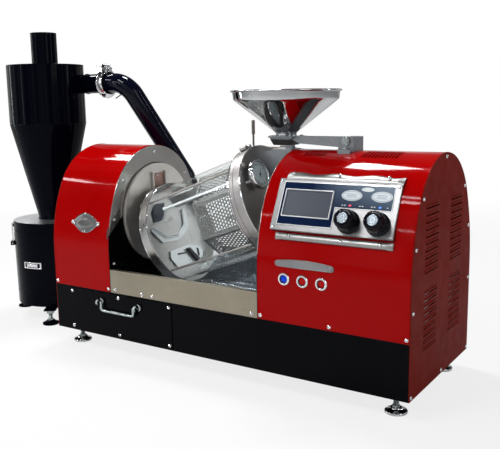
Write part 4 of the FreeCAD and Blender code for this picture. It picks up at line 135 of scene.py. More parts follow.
CONSOLE_TILT = math.radians(25.724)
CONSOLE_SPAN = 281.0
CONSOLE_LEFT = 677.0
CONSOLE_LOW = 323.0
CONSOLE = (Matrix.Translation((CONSOLE_LEFT, skin(CONSOLE_LOW) - 8.5, CONSOLE_LOW))
           @ Matrix.Rotation(math.pi / 2 - CONSOLE_TILT, 4, "X"))


def on_column(height):
    """Point on the axis of the cyclone and the chaff bin."""
    return CYCLONE.x, CYCLONE.y, height


# ------------------------------------------------------------------ outlines
def oval(cu, cv, ru, rv, count=36):
    turns = [2 * math.pi * k / count for k in range(count)]
    return [(cu + ru * math.cos(t), cv + rv * math.sin(t)) for t in turns]


def arc(cu, cv, radius, start, sweep, steps):
    """Points of an arc with both its ends, angles in degrees."""
    turns = [math.radians(start + sweep * k / steps) for k in range(steps + 1)]
    return [(cu + radius * math.cos(t), cv + radius * math.sin(t)) for t in turns]


def rounded(low_u, low_v, high_u, high_v, radius, steps=5):
    """Outline of a rectangle with round corners, anticlockwise."""
    left, right = low_u + radius, high_u - radius
    low, high = low_v + radius, high_v - radius
    corners = ((right, low, -90), (right, high, 0), (left, high, 90), (left, low, 180))
    return [p for u, v, turn in corners for p in arc(u, v, radius, turn, 90, steps)]


def bow(x, edge, half, rise, way, count):
    """Bowed edge of a plate: the lower one, along X, for way 1 and the upper one for way -1."""
    shares = [way * (2 * k / count - 1) for k in range(count + 1)]
    return [(x + share * half, edge - way * rise * (1 - share ** 2)) for share in shares]


def lens_outline(x, middle, length, height, tip):
    rise = height / 2 - tip
    return [p for way in (1, -1) for p in bow(x, middle - way * tip, length / 2, rise, way, 28)]


def arched_outline(x, middle, length, end, rise):
    """Long plate with round ends and a bowed back."""
    half = length / 2 - end
    points = []
    for way, bulge in ((1, 0.1 * rise), (-1, rise)):
        points += bow(x, middle - way * end, half, bulge, way, 20)
        points += arc(x + way * half, middle, end, -90 * way, 180, 8)[1:-1]
    return points


# ------------------------------------------------------------------ mesh helpers
UP = (0, 0, 1)
ALONG = (1, 0, 0)
BACK = (0, 1, 0)


def frame_of(axis):
    axis = Vector(axis).normalized()
    side = Vector(UP) if abs(axis.z) < 0.9 else Vector(BACK)
    first = side.cross(axis).normalized()
    return first, axis.cross(first), axis


def ring_of(bm, points):
    return [bm.verts.new(p) for p in points]


def stitch(bm, rings, closed=False, around=True):
    """Faces between rings of vertices. A ring of one vertex is a tip."""
    for low, high in zip(rings, rings[1:] + rings[:int(closed)]):
        count = max(len(low), len(high))
        for i in range(count if around else count - 1):
            j = (i + 1) % count
            if len(low) == 1:
                bm.faces.new((low[0], high[i], high[j]))
            elif len(high) == 1:
                bm.faces.new((low[i], low[j], high[0]))
            else:
                bm.faces.new((low[i], low[j], high[j], high[i]))


def bar(bm, rings):
    """Rings joined into a solid, with a face on each end."""
    stitch(bm, rings)
    bm.faces.new(rings[0])
    bm.faces.new(list(reversed(rings[-1])))


def lathe(bm, profile, place, axis, segments=48, closed=False):
    """Turn (radius, height) points about an axis through place."""
    first, second, axis = frame_of(axis)
    rings = []
    for radius, height in profile:
        middle = Vector(place) + axis * height
        turns = [2 * math.pi * i / segments for i in range(segments if radius else 1)]
        rings.append(ring_of(bm, [middle + first * (radius * math.cos(t))
                                  + second * (radius * math.sin(t)) for t in turns]))
    stitch(bm, rings, closed)


def prism(bm, outline, depth):
    """Flat outline pushed along a vector."""
    low = ring_of(bm, [Vector(p) for p in outline])
    high = ring_of(bm, [Vector(p) + Vector(depth) for p in outline])
    bm.faces.new(low)
    bm.faces.new(list(reversed(high)))
    for i in range(len(low)):
        j = (i + 1) % len(low)
        bm.faces.new((low[j], low[i], high[i], high[j]))


def slab(bm, low, high):
    x0, y0, z0 = low
    x1, y1, z1 = high
    prism(bm, [(x0, y0, z0), (x1, y0, z0), (x1, y1, z0), (x0, y1, z0)], (0, 0, z1 - z0))


def tube(bm, path, radius, segments=16):
    """Round bar along a line of points."""
    path = [Vector(p) for p in path]
    tangents = [(after - before).normalized()
                for before, after in zip(path[:1] + path[:-1], path[1:] + path[-1:])]
    first = frame_of(tangents[0])[0]
    rings = []
    for point, tangent in zip(path, tangents):
        first = (first - tangent * first.dot(tangent)).normalized()
        second = tangent.cross(first)
        rings.append(ring_of(bm, [point + first * x + second * y
                                  for x, y in oval(0, 0, radius, radius, segments)]))
    stitch(bm, rings)
    bm.faces.new(list(reversed(rings[0])))
    bm.faces.new(rings[-1])


def carried(bm, matrix, start=0):
    """Move the vertices made since start by a matrix."""
    bm.verts.ensure_lookup_table()
    bmesh.ops.transform(bm, matrix=matrix, verts=bm.verts[start:])


def turned(bm, profile, matrix, segments=48, closed=False):
    """Shape turned about Z at the origin and moved by a matrix."""
    start = len(bm.verts)
    lathe(bm, profile, (0, 0, 0), UP, segments, closed)
    carried(bm, matrix, start)


def flat(bm, outline, low, high, matrix=CONSOLE):
    """Flat plate from (u, v) points, drawn on the console if nothing else is said."""
    start = len(bm.verts)
    prism(bm, [(u, v, low) for u, v in outline], (0, 0, high - low))
    carried(bm, matrix, start)


def to_axis(place, axis):
    """Matrix that carries +Z at the origin to an axis at a place."""
    return (Matrix.Translation(place)
            @ Vector(axis).to_track_quat("Z", "Y").to_matrix().to_4x4())


def moved(x, y, z, turn=0.0, axis="Z"):
    """Matrix of a turn in radians, then a move."""
    return Matrix.Translation((x, y, z)) @ Matrix.Rotation(turn, 4, axis)


def hexagon(bm, width, height, bore, matrix):
    """Chamfered nut standing on its own face, moved by a matrix."""
    corner = width / 2 / math.cos(math.pi / 6)
    turned(bm, [(bore, 0), (corner * 0.94, 0), (corner, height * 0.12), (corner, height * 0.88),
                (corner * 0.94, height), (bore, height)], matrix, 6)


def threaded(bm, start_point, axis, length, radius, pitch=1.75, segments=20):
    """Threaded rod as a stack of sharp-crested rings."""
    turns = max(int(length / pitch), 1)
    profile = [(0.0, 0.0), (radius * 0.86, 0.0)]
    for i in range(turns):
        profile.append((radius, (i + 0.5) * length / turns))
        profile.append((radius * 0.86, (i + 1) * length / turns))
    profile.append((0.0, length))
    lathe(bm, profile, start_point, axis, segments)


def screw_head(bm, place, axis, radius=4.5, height=2.4, turn=0.4):
    """Domed head with a real cross recess."""
    start = len(bm.verts)
    steps = ((1.0, 0.0), (1.0, 0.18), (0.93, 0.42), (0.80, 0.66), (0.64, 0.84), (0.52, 0.92),
             (0.40, 0.97), (0.26, 1.0), (0.12, 1.0))
    rings = []
    for share, rise in steps:
        ring = []
        for x, y in oval(0, 0, share, share, 24):
            arm = min(abs(x), abs(y)) < 0.15 and max(abs(x), abs(y)) < 0.55
            depth = 0.22 if arm and share < 0.5 else 0.0
            ring.append((x * radius, y * radius, (rise - depth) * height))
        rings.append(ring_of(bm, ring))
    rings.append(ring_of(bm, [(0, 0, height * 0.5)]))
    stitch(bm, rings)
    carried(bm, to_axis(place, axis) @ Matrix.Rotation(turn, 4, "Z"), start)


BODY = "machine_body"


def piece(name, bm, material, node=None, body=BODY, angle=35, bevel=0.0):
    """Finish a mesh as an object that rides on a body and may stand for a CAD node."""
    bmesh.ops.recalc_face_normals(bm, faces=bm.faces)
    mesh = bpy.data.meshes.new(name)
    bm.transform(TO_ROW)
    bm.to_mesh(mesh)
    bm.free()
    obj = bpy.data.objects.new(name, mesh)
    bpy.context.scene.collection.objects.link(obj)
    for entry in material if isinstance(material, list) else [material]:
        mesh.materials.append(entry)
    mesh.shade_smooth()
    mesh.set_sharp_from_angle(angle=math.radians(angle))
    if bevel:
        edge = obj.modifiers.new("edge", "BEVEL")
        edge.width = bevel / 1000
        edge.segments = 2
        edge.limit_method = "ANGLE"
        edge.angle_limit = math.radians(35)
        edge.harden_normals = True
    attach(obj, body)
    if node:
        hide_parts(node)
    return obj


def thicken(obj, thickness):
    """Give a sheet its thickness, in millimetres."""
    wall = obj.modifiers.new("wall", "SOLIDIFY")
    wall.thickness = thickness / 1000
    wall.offset = -1.0


# ------------------------------------------------------------------ materials
class Look:
    """Small writer for the node tree of a material or of the world."""

    def __init__(self, owner, shader="Principled BSDF", space="Object"):
        owner.use_nodes = True
        self.owner = owner
        self.tree = owner.node_tree
        self.shader = self.tree.nodes[shader]
        self.coordinates = self.node("TexCoord").outputs[space]

    def node(self, kind, inputs=(), **values):
        made = self.tree.nodes.new("ShaderNode" + kind)
        for key, value in values.items():
            setattr(made, key, value)
        for key, value in inputs:
            self.put(made.inputs[key], value)
        return made

    def put(self, target, value):
        """Link a socket to an input, or write a plain value there."""
        if isinstance(value, bpy.types.NodeSocket):
            self.tree.links.new(value, target)
        else:
            target.default_value = (*value, 1) if target.type == "RGBA" else value

    def set(self, **values):
        for key, value in values.items():
            self.put(self.shader.inputs[key.replace("_", " ")], value)

    def math(self, operation, *values):
        return self.node("Math", enumerate(values), operation=operation).outputs[0]

    def noise(self, scale, detail=4.0, rough=0.55, stretch=(1, 1, 1)):
        place = self.node("Mapping", (("Scale", stretch), ("Vector", self.coordinates)))
        return self.node("TexNoise", (("Scale", scale), ("Detail", detail), ("Roughness", rough),
                                      ("Vector", place.outputs[0]))).outputs["Fac"]

    def spread(self, value, low, high, from_low=0.25, from_high=0.75):
        return self.node("MapRange", (("From Min", from_low), ("From Max", from_high),
                                      ("To Min", low), ("To Max", high),
                                      ("Value", value))).outputs[0]

    def drift(self, scale, detail, rough=0.55):
        """Slow change from 0 to 1 over the surface."""
        return self.spread(self.noise(scale, detail, rough), 0.0, 1.0)

    def blend(self, factor, first, second):
        return self.node("Mix", ((0, factor), (6, first), (7, second)), data_type="RGBA").outputs[2]

    def mix(self, factor, first, second):
        return self.node("Mix", ((0, factor), (2, first), (3, second))).outputs[0]

    def layer(self, factor, first, second, output):
        """Mix two shaders into an output node."""
        made = self.node("MixShader", ((0, factor), (1, first.outputs[0]), (2, second.outputs[0])))
        self.put(self.tree.nodes[output].inputs["Surface"], made.outputs[0])

    def bump(self, height, strength, distance, soft):
        """Relief of a height, on edges rounded by soft."""
        edge = self.node("Bevel", (("Radius", soft),), samples=4)
        made = self.node("Bump", (("Strength", strength), ("Distance", distance),
                                  ("Height", height), ("Normal", edge.outputs[0])))
        self.set(Normal=made.outputs[0])

    def separate(self, source=None):
        return self.node("SeparateXYZ", ((0, source or self.coordinates),)).outputs

    def length(self, one, two):
        squares = [self.math("MULTIPLY", value, value) for value in (one, two)]
        return self.math("SQRT", self.math("ADD", *squares))

    def studio_rays(self):
        """Rays that see the white studio, from the camera or through glass, and gloss rays."""
        path = self.node("LightPath").outputs
        shown = self.math("MAXIMUM", path["Is Camera Ray"], path["Is Transmission Ray"])
        return shown, path["Is Glossy Ray"]


def new_look(name):
    return Look(bpy.data.materials.new(name))


def textured(name, bright, dark, rough=(0.42, 0.6), grain=900.0, strength=0.25, specular=0.5):
    """Powder coat or moulded plastic with a fine pebbled surface."""
    m = new_look(name)
    m.set(Base_Color=m.blend(m.drift(9.0, 5.0), bright, dark),
          Roughness=m.spread(m.noise(35.0, 4.0), *rough), Specular_IOR_Level=specular)
    m.bump(m.noise(grain, 3.0), strength, 0.0003, 0.0008)
    return m.owner


def brushed(name, bright, dark, stretch=(4, 260, 260), rough=(0.18, 0.34), strength=0.12,
            metallic=1.0):
    """Rolled or brushed sheet: long fine scratches along one direction and faint smears."""
    m = new_look(name)
    grain = m.noise(6.0, 5.0, 0.7, stretch)
    tone = m.math("MULTIPLY", grain, m.noise(11.0, 4.0, 0.6))
    m.set(Base_Color=m.blend(m.spread(tone, 0.0, 1.0, 0.12, 0.42), dark, bright),
          Roughness=m.spread(tone, *rough, 0.12, 0.42), Metallic=metallic)
    m.bump(grain, strength, 0.0002, 0.0006)
    return m.owner


def polished(name, bright, dark, rough, wave=0.0):
    """Mirror-finished metal with fingerprints, and hairlines or a slight waviness."""
    m = new_look(name)
    m.set(Base_Color=m.blend(m.drift(14.0, 6.0, 0.65), bright, dark),
          Roughness=m.spread(m.noise(30.0, 6.0, 0.7), *rough), Metallic=1.0)
    if wave:
        m.bump(m.noise(9.0, 1.0), wave, 0.004, 0.0006)
    else:
        m.bump(m.noise(700.0, 2.0), 0.02, 0.0002, 0.0006)
    return m.owner


def spun(name, bright, dark, centre, axis, rough=(0.16, 0.34), edge=None):
    """Turned metal: fine rings round an axis. A plate that looks along X may have a matt edge, lighter
    than the metal, painted to lift the shade on its rim.
    """
    m = new_look(name)
    place = m.node("Mapping", (("Location", -Vector(centre)), ("Vector", m.coordinates)))
    across = [part for part, letter in zip(m.separate(place.outputs[0]), "XYZ") if letter != axis]
    ring = m.node("TexNoise", (("Scale", 1600.0), ("Detail", 3.0), ("W", m.length(*across))),
                  noise_dimensions="1D").outputs["Fac"]
    tone = m.blend(m.drift(9.0, 4.0), bright, dark)
    m.set(Base_Color=tone, Roughness=m.spread(ring, *rough), Metallic=1.0)
    m.bump(ring, 0.12, 0.0002, 0.0008)
    # The matt edge colour is painted light: it lifts the shade and dark reflections on the rim.
    if edge:
        normal = m.node("NewGeometry").outputs["True Normal"]
        face = m.math("GREATER_THAN", m.separate(normal)[0], 0.6)
        m.set(Base_Color=m.blend(face, edge, tone), Metallic=face)
    return m.owner


def clear_glass(name):
    """Glass that lets lamps through, so that what is inside it isn't left in shade."""
    m = new_look(name)
    m.set(Base_Color=m.blend(m.drift(6.0, 3.0), (0.93, 0.96, 0.96), (0.97, 0.985, 0.98)),
          Roughness=m.spread(m.noise(22.0, 5.0), 0.0, 0.03), Transmission_Weight=1.0, IOR=1.18)
    path = m.node("LightPath").outputs
    through = m.math("MAXIMUM", path["Is Shadow Ray"], path["Is Diffuse Ray"])
    clear = m.node("BsdfTransparent", (("Color", (0.95, 0.97, 0.97)),))
    m.layer(through, m.shader, clear, "Material Output")
    return m.owner


def gloss(name, bright, dark, specular, drift, sheen, rough, wave, peel, relief):
    """Gloss paint: slow drift of tone, faint orange peel and the ripple of the sheet below."""
    m = new_look(name)
    m.set(Base_Color=m.blend(m.drift(*drift), bright, dark),
          Roughness=m.spread(m.noise(sheen, 5.0), *rough),
          Metallic=0.0, Specular_IOR_Level=specular, Coat_Weight=0.0)
    ripple = m.math("ADD", m.math("MULTIPLY", m.noise(wave[0], 1.0), wave[1]),
                    m.math("MULTIPLY", m.noise(peel[0], 2.0), peel[1]))
    m.bump(ripple, *relief)
    return m.owner


def black_paint(name, specular, bright, dark):
    """Deep gloss black with a trace of blue."""
    return gloss(name, bright, dark, specular, (6.0, 4.0), 55.0, (0.05, 0.11), (9.0, 0.8),
                 (420.0, 0.01), (0.08, 0.003, 0.001))


def printed(name, slides, bright, deep):
    """Film whose tone slides along an axis, or two, with a fine matt grain."""
    m = new_look(name)
    parts = [m.spread(m.separate()["XYZ".index(axis)], 0.0, 1.0, low, high)
             for axis, low, high in slides]
    tone = m.blend(m.math("MULTIPLY", *parts) if len(parts) > 1 else parts[0], deep, bright)
    m.set(Base_Color=m.blend(m.math("MULTIPLY", m.drift(14.0, 4.0), 0.04), tone, (0.10, 0.13, 0.2)),
          Roughness=m.spread(m.noise(90.0, 3.0), 0.12, 0.22), Specular_IOR_Level=0.06)
    m.bump(m.noise(800.0, 2.0), 0.04, 0.0002, 0.0004)
    return m.owner


def lit(name, colour, strength, rough=0.15):
    """Backlit lens: a body colour with a faint uneven glow."""
    m = new_look(name)
    haze = m.spread(m.noise(45.0, 3.0), 0.75, 1.0)
    m.set(Base_Color=m.blend(haze, tuple(c * 0.6 for c in colour), colour),
          Roughness=m.spread(m.noise(80.0, 3.0), rough * 0.7, rough * 1.3),
          Emission_Color=colour, Emission_Strength=strength, Specular_IOR_Level=0.12)
    m.bump(m.noise(500.0, 2.0), 0.03, 0.0002, 0.0004)
    return m.owner


red = gloss("red_gloss", (0.34, 0.0007, 0.0010), (0.30, 0.0006, 0.0009), 0.07, (4.0, 3.0), 70.0,
            (0.045, 0.085), (7.0, 0.9), (380.0, 0.012), (0.12, 0.004, 0.0012))
black = black_paint("black_gloss", 0.04, (0.0012, 0.0013, 0.002), (0.0022, 0.0024, 0.0035))
cyclone_black = black_paint("cyclone_gloss", 0.035, (0.0006, 0.0009, 0.003), (0.001, 0.0016, 0.005))
pipe_black = black_paint("pipe_gloss", 0.16, (0.0008, 0.0014, 0.007), (0.0012, 0.002, 0.010))
dark_panel = textured("oxide_red_panel", (0.19, 0.010, 0.005), (0.145, 0.008, 0.004), specular=0.03)
matt_black = textured("matt_black", (0.012, 0.012, 0.013), (0.022, 0.022, 0.024))
plastic_black = textured("black_plastic", (0.008, 0.008, 0.009), (0.015, 0.015, 0.017),
                         rough=(0.12, 0.22), strength=0.03)
knob_black = textured("knob_black", (0.0015, 0.0016, 0.004), (0.003, 0.003, 0.007),
                      rough=(0.06, 0.12), strength=0.02, specular=0.16)
seam_dark = textured("seam_dark", (0.05, 0.045, 0.04), (0.08, 0.07, 0.065), rough=(0.4, 0.6))
rubber = textured("rubber", (0.014, 0.014, 0.014), (0.024, 0.024, 0.024), rough=(0.6, 0.8))
oval_white = textured("oval_key", (0.62, 0.68, 0.72), (0.52, 0.58, 0.62), rough=(0.25, 0.35),
                      grain=500.0, strength=0.05)
dial_face = textured("dial_face", (0.80, 0.87, 0.92), (0.66, 0.73, 0.78), rough=(0.3, 0.4),
                     grain=600.0, strength=0.05)
ink = textured("black_ink", (0.006, 0.006, 0.007), (0.012, 0.012, 0.013), rough=(0.35, 0.5))
wire_blue = textured("wire_blue", (0.13, 0.17, 0.26), (0.08, 0.11, 0.18), rough=(0.3, 0.5))
# Dark navy sheet: painted shade seen through the mesh window of the drum end.
window_painted_shade = textured("window_painted_shade", (0.012, 0.016, 0.035), (0.02, 0.025, 0.05), rough=(0.3, 0.5))
steel = brushed("brushed_steel", (0.60, 0.60, 0.61), (0.44, 0.44, 0.45))
tray_steel = brushed("tray_sheet", (0.34, 0.305, 0.235), (0.25, 0.225, 0.175), rough=(0.3, 0.46))
inner_steel = brushed("inner_steel", (0.50, 0.50, 0.51), (0.36, 0.36, 0.37), rough=(0.24, 0.40))
cage_steel = brushed("perforated_sheet", (0.24, 0.235, 0.225), (0.15, 0.15, 0.15),
                     stretch=(20, 20, 20), rough=(0.26, 0.42), metallic=0.6)
arm_grey = brushed("grey_steel", (0.30, 0.315, 0.33), (0.20, 0.21, 0.225), stretch=(40, 40, 40),
                   rough=(0.34, 0.5))
plate_steel = brushed("console_plate", (0.32, 0.32, 0.325), (0.23, 0.23, 0.235),
                      stretch=(6, 200, 200), rough=(0.30, 0.44))
rail_steel = brushed("rail_steel", (0.40, 0.40, 0.39), (0.28, 0.28, 0.28), rough=(0.34, 0.46),
                     strength=0.04)
zinc = brushed("zinc_plate", (0.52, 0.57, 0.57), (0.36, 0.40, 0.40), stretch=(30, 30, 30),
               rough=(0.2, 0.4))
band_steel = brushed("satin_band", (0.42, 0.40, 0.39), (0.32, 0.305, 0.30), stretch=(30, 60, 60),
                     rough=(0.36, 0.5), strength=0.03)
warm_sheet = brushed("warm_sheet", (0.50, 0.33, 0.28), (0.38, 0.25, 0.21), stretch=(30, 4, 30),
                     rough=(0.3, 0.45))
trim_bright = brushed("trim_bright", (0.88, 0.89, 0.90), (0.74, 0.75, 0.76), rough=(0.3, 0.4),
                      metallic=0.3)
tray_sheen = brushed("tray_liner", (0.62, 0.66, 0.70), (0.50, 0.54, 0.58), rough=(0.14, 0.26))
end_sheet = brushed("drum_end_sheet", (0.50, 0.49, 0.48), (0.38, 0.375, 0.37), rough=(0.24, 0.38))
arch_steel = brushed("arch_sheet", (0.56, 0.545, 0.52), (0.44, 0.43, 0.41), rough=(0.14, 0.26))
rod_steel = brushed("rod_steel", (0.40, 0.38, 0.36), (0.32, 0.30, 0.28), stretch=(60, 60, 60),
                    strength=0.01, metallic=0.45, rough=(0.16, 0.3))
# Near-white half-metal: painted glare on the stiffener, door and inner rod of the left drum end.
end_painted_glare = brushed("end_painted_glare", (0.92, 0.94, 0.96), (0.82, 0.84, 0.86), stretch=(20, 60, 20),
                     rough=(0.16, 0.30), metallic=0.5)
lever_look = brushed("lever_look", (0.28, 0.25, 0.22), (0.18, 0.16, 0.14), stretch=(30, 30, 30),
                     rough=(0.3, 0.5))
lid_steel = brushed("lid_steel", (0.84, 0.85, 0.86), (0.68, 0.69, 0.70), stretch=(20, 20, 20),
                    rough=(0.3, 0.42))
mirror = polished("polished_steel", (0.70, 0.70, 0.71), (0.58, 0.58, 0.59), (0.05, 0.13))
chrome = polished("chrome", (0.78, 0.78, 0.80), (0.64, 0.64, 0.66), (0.04, 0.10))
hopper_steel = polished("hopper_steel", (0.56, 0.57, 0.58), (0.44, 0.45, 0.46), (0.04, 0.1), wave=0.10)
# The disc's rim gets a matt edge colour, painted light over its shade.
disc_steel = spun("turned_disc", (0.84, 0.81, 0.76), (0.72, 0.69, 0.64), row(0, MIDDLE, AXIS), "X",
                  rough=(0.3, 0.46), edge=(0.30, 0.28, 0.26))
aluminium = spun("turned_aluminium", (0.66, 0.66, 0.68), (0.52, 0.52, 0.54), row(0, MIDDLE, AXIS), "X")
glass = clear_glass("drum_glass")
# The film is lighter towards the upper right.
film = printed("panel_film", (("X", row(760, 0, 0).x, row(930, 0, 0).x),
                              ("Z", row(0, 0, 362).z, row(0, 0, 425).z)),
               (0.20, 0.27, 0.34), (0.002, 0.010, 0.045))
# The screen is lighter towards the left.
display = printed("display", (("X", row(700, 0, 0).x, row(815, 0, 0).x),), (0.080, 0.090, 0.112),
                  (0.115, 0.127, 0.15))
key_ink = printed("key_ink", (("Z", -1, 1),), (0.25, 0.34, 0.40), (0.22, 0.30, 0.36))
blue_lens = lit("blue_lens", (0.004, 0.035, 0.46), 0.45)
red_lens = lit("red_lens", (0.34, 0.002, 0.002), 0.2)
glow_red = lit("glow_red", (0.75, 0.08, 0.12), 0.6)
glow_blue = lit("glow_blue", (0.10, 0.25, 0.85), 0.8)

LOOKS = {
    red: ["left_cover", "right_cover"],
    black: ["base_shell", "access_cover", "lower_face_panels"],
    pipe_black: ["exhaust_pipe"],
    cyclone_black: ["cyclone", "chaff_bin"],
    dark_panel: ["end_panels"],
    matt_black: ["drive_motor", "fan_motors", "power_inlet"],
    plastic_black: ["charge_lever"],
    steel: ["blank_plates", "charge_gate", "drum_carriers"],
    arm_grey: ["hopper_arm", "arm_post", "charging_spout"],
    plate_steel: ["console_frame"],
    tray_steel: ["tray_walls"],
    inner_steel: ["mixing_vanes", "hollow_axles", "heater_box", "exhaust_plenum"],
    cage_steel: ["drum_cage"],
    tray_sheen: ["cooling_tray"],
    mirror: ["bin_lid"],
    arch_steel: ["face_plates"],
    hopper_steel: ["hopper"],
    band_steel: ["right_drum_end"],
    end_sheet: ["left_drum_end"],
    chrome: ["tie_rods", "pipe_clamp", "clamp_lever", "bin_latch", "body_screws",
             "button_bezels", "drum_gauge"],
    zinc: ["drop_handle", "foot_stems", "foot_pads", "fan_housings", "exhaust_fan_wheel",
           "intake_fan_wheel", "control_box", "bearing_stands", "shaft_bearings"],
    disc_steel: ["turning_discs"],
    aluminium: ["drum_pulley", "motor_rotor"],
    rubber: ["drive_belt"],
    glass: ["drum_glass"],
    film: ["console_overlay"],
    display: ["touch_screen"],
    knob_black: ["knob_left", "knob_right"],
    blue_lens: ["button_blue"],
    red_lens: ["button_red_inner", "button_red_outer"],
}
look_of = {node: look for look, group in LOOKS.items() for node in group}
for node, obj in NODES.items():
    if not obj.material_slots:
        obj.data.materials.append(None)
    for slot in obj.material_slots:
        slot.link = "OBJECT"
        slot.material = look_of.get(node, plastic_black)


# ------------------------------------------------------------------ screws and feet
def islands(node):
    """Separate lumps of a CAD node as lists of (area, normal, centre) of their faces, in
    machine millimetres."""
    obj = NODES[node]
    bm = bmesh.new()
    bm.from_mesh(obj.data)
    bm.transform(obj.matrix_world)
    bmesh.ops.remove_doubles(bm, verts=bm.verts, dist=1e-5)
    seen = set()
    lumps = []
    for face in bm.faces:
        if face.index in seen:
            continue
        stack, lump = [face], []
        seen.add(face.index)
        while stack:
            current = stack.pop()
            lump.append((current.calc_area() * 1e6, current.normal.copy(),
                         (current.calc_center_median() + ORIGIN) * 1000))
            for other in [f for edge in current.edges for f in edge.link_faces]:
                if other.index not in seen:
                    seen.add(other.index)
                    stack.append(other)
        lumps.append(lump)
    bm.free()
    return lumps


def seat_of(lump):
    """Flat foot of a domed head: its middle and the way the head points."""
    flats = {}
    for area, normal, centre in lump:
        key = tuple(round(c, 1) for c in normal)
        total, spot, exact = flats.get(key, (0.0, Vector(), Vector()))
        flats[key] = (total + area, spot + centre * area, exact + normal * area)
    total, spot, exact = max(flats.values(), key=lambda flat_face: flat_face[0])
    return spot / total, -exact.normalized()


def screws():
    bm = bmesh.new()
    for index, lump in enumerate(islands("body_screws")):
        place, axis = seat_of(lump)
        screw_head(bm, place, axis, turn=0.3 + 0.7 * index)
    piece("screw_heads", bm, chrome, "body_screws", angle=28)


FLOOR = -45.0
FOOT_MARGIN = 44.0
BIN_FOOT_CIRCLE = 140.0


def feet():
    base = [(x, y, 0.0) for x in (FOOT_MARGIN, BODY_RIGHT - FOOT_MARGIN)
            for y in (FOOT_MARGIN, DEPTH - FOOT_MARGIN)]
    turns = [math.radians(67 + 120 * i) for i in range(3)]
    bins = [(CYCLONE.x + BIN_FOOT_CIRCLE * math.cos(t), CYCLONE.y + BIN_FOOT_CIRCLE * math.sin(t), -4.0)
            for t in turns]
    stems = bmesh.new()
    pads = bmesh.new()
    for x, y, top in base + bins:
        threaded(stems, (x, y, FLOOR + 9), UP, top - FLOOR - 9, 6.0)
        hexagon(stems, 19.0, 8.0, 5.0, moved(x, y, top - 9))
        lathe(stems, [(6.2, 0), (12.5, 0), (12.5, 1.2), (6.2, 1.2)], (x, y, top - 1.2), UP, 28)
        hexagon(stems, 15.0, 5.0, 5.0, moved(x, y, FLOOR + 12))
        lathe(pads, [(0, 0.6), (20, 0.6), (22, 0), (23.4, 0.5), (24, 2), (24, 4.2), (23.2, 5.6),
                     (20.5, 6.6), (15.6, 8.4), (13.2, 10.2), (12.4, 12), (0, 12)], (x, y, FLOOR), UP)
    piece("foot_screws", stems, zinc, "foot_stems", angle=30)
    each = len(pads.faces) // len(base + bins)
    pads.faces.ensure_lookup_table()
    for face in pads.faces[each * len(base):]:
        face.material_index = 1
    piece("foot_discs", pads, [chrome, cyclone_black], "foot_pads", angle=30)


# ------------------------------------------------------------------ console
FILM = 0.8
PILOTS = (("red", 176, glow_red), ("blue", 242, glow_blue))


def frame_loop(bm, outer, inner, low, high, chamfer):
    """Closed picture frame on the console between two outlines with as many points."""
    start = len(bm.verts)
    middle = [((a[0] + b[0]) / 2, (a[1] + b[1]) / 2) for a, b in zip(outer, inner)]
    rows = ((outer, low), (outer, high - chamfer), (middle, high), (inner, high - chamfer),
            (inner, low))
    stitch(bm, [ring_of(bm, [(u, v, w) for u, v in points]) for points, w in rows], closed=True)
    carried(bm, CONSOLE, start)


def console():
    shell = bmesh.new()
    outer, inner = rounded(0, 0, CONSOLE_SPAN, 116, 2.0), rounded(2.2, 2.2, 278.8, 113.8, 1.0)
    flat(shell, outer, -12.0, 0.0)
    frame_loop(shell, outer, inner, -0.2, 0.7, 0.4)
    for u in (60, 140, 220):
        flat(shell, rounded(u - 9, 6, u + 9, 24, 3), -24.0, -11.8)
    piece("console_plate", shell, plate_steel, "console_frame", bevel=0.5)


def screen_trim():
    """Line round the printed film, and the raised surround of the screen with its face."""
    trim = bmesh.new()
    line = 1.1
    path = [(13, 13), (144, 13), (144, 57.5), (268, 57.5), (268, 109.5), (13, 109.5)]
    ways = [(1, 1), (-1, 1), (-1, 1), (-1, 1), (-1, -1), (1, -1)]
    inside = [(u + line * du, v + line * dv) for (u, v), (du, dv) in zip(path, ways)]
    frame_loop(trim, path, inside, FILM, FILM + 0.35, 0.1)
    left, low = 22.0, 31.8
    frame_loop(trim, rounded(left - 1, low - 1, left + 114, low + 61, 2.0),
               rounded(left + 1.6, low + 1.6, left + 111.4, low + 58.4, 1.2), FILM, FILM + 3.4, 0.7)
    piece("screen_surround", trim, trim_bright, angle=25)
    face = bmesh.new()
    flat(face, rounded(left + 3, low + 3, left + 110, low + 57, 1.0), FILM + 1.4, FILM + 1.9)
    piece("screen_glass", face, display, bevel=0.2)


def film_keys():
    """Oval keys with plain marks, pilots and dashes on the film."""
    keys = bmesh.new()
    for cu, cv, ru, rv in ((176, 86, 23, 11.5), (242, 86.5, 23, 11.5), (209, 100.5, 14, 4.6)):
        flat(keys, oval(cu, cv, ru, rv), FILM, FILM + 0.45)
    piece("oval_keys", keys, oval_white, bevel=0.2)
    rings = bmesh.new()
    for cu, cv, ru, rv in ((176, 86, 21, 9.8), (242, 86.5, 21, 9.8)):
        frame_loop(rings, oval(cu, cv, ru, rv), oval(cu, cv, ru - 0.9, rv - 0.9), FILM + 0.4,
                   FILM + 0.6, 0.05)
        for step in (-3.3, 0, 3.3):
            flat(rings, rounded(cu - 11, cv + step - 0.5, cu + 11, cv + step + 0.5, 0.4, 2),
                 FILM + 0.4, FILM + 0.55)
    piece("key_outlines", rings, key_ink)
    for name, cu, look in PILOTS:
        dot = bmesh.new()
        flat(dot, oval(cu, 64.5, 3.4, 2.0, 20), FILM, FILM + 0.7)
        piece("pilot_" + name, dot, look, bevel=0.3)
    marks = bmesh.new()
    for cu in (157, 163, 196, 202, 222, 228, 256):
        flat(marks, rounded(cu, 63.5, cu + 4, 65.5, 0.5, 2), FILM, FILM + 0.25)
    piece("film_marks", marks, oval_white)


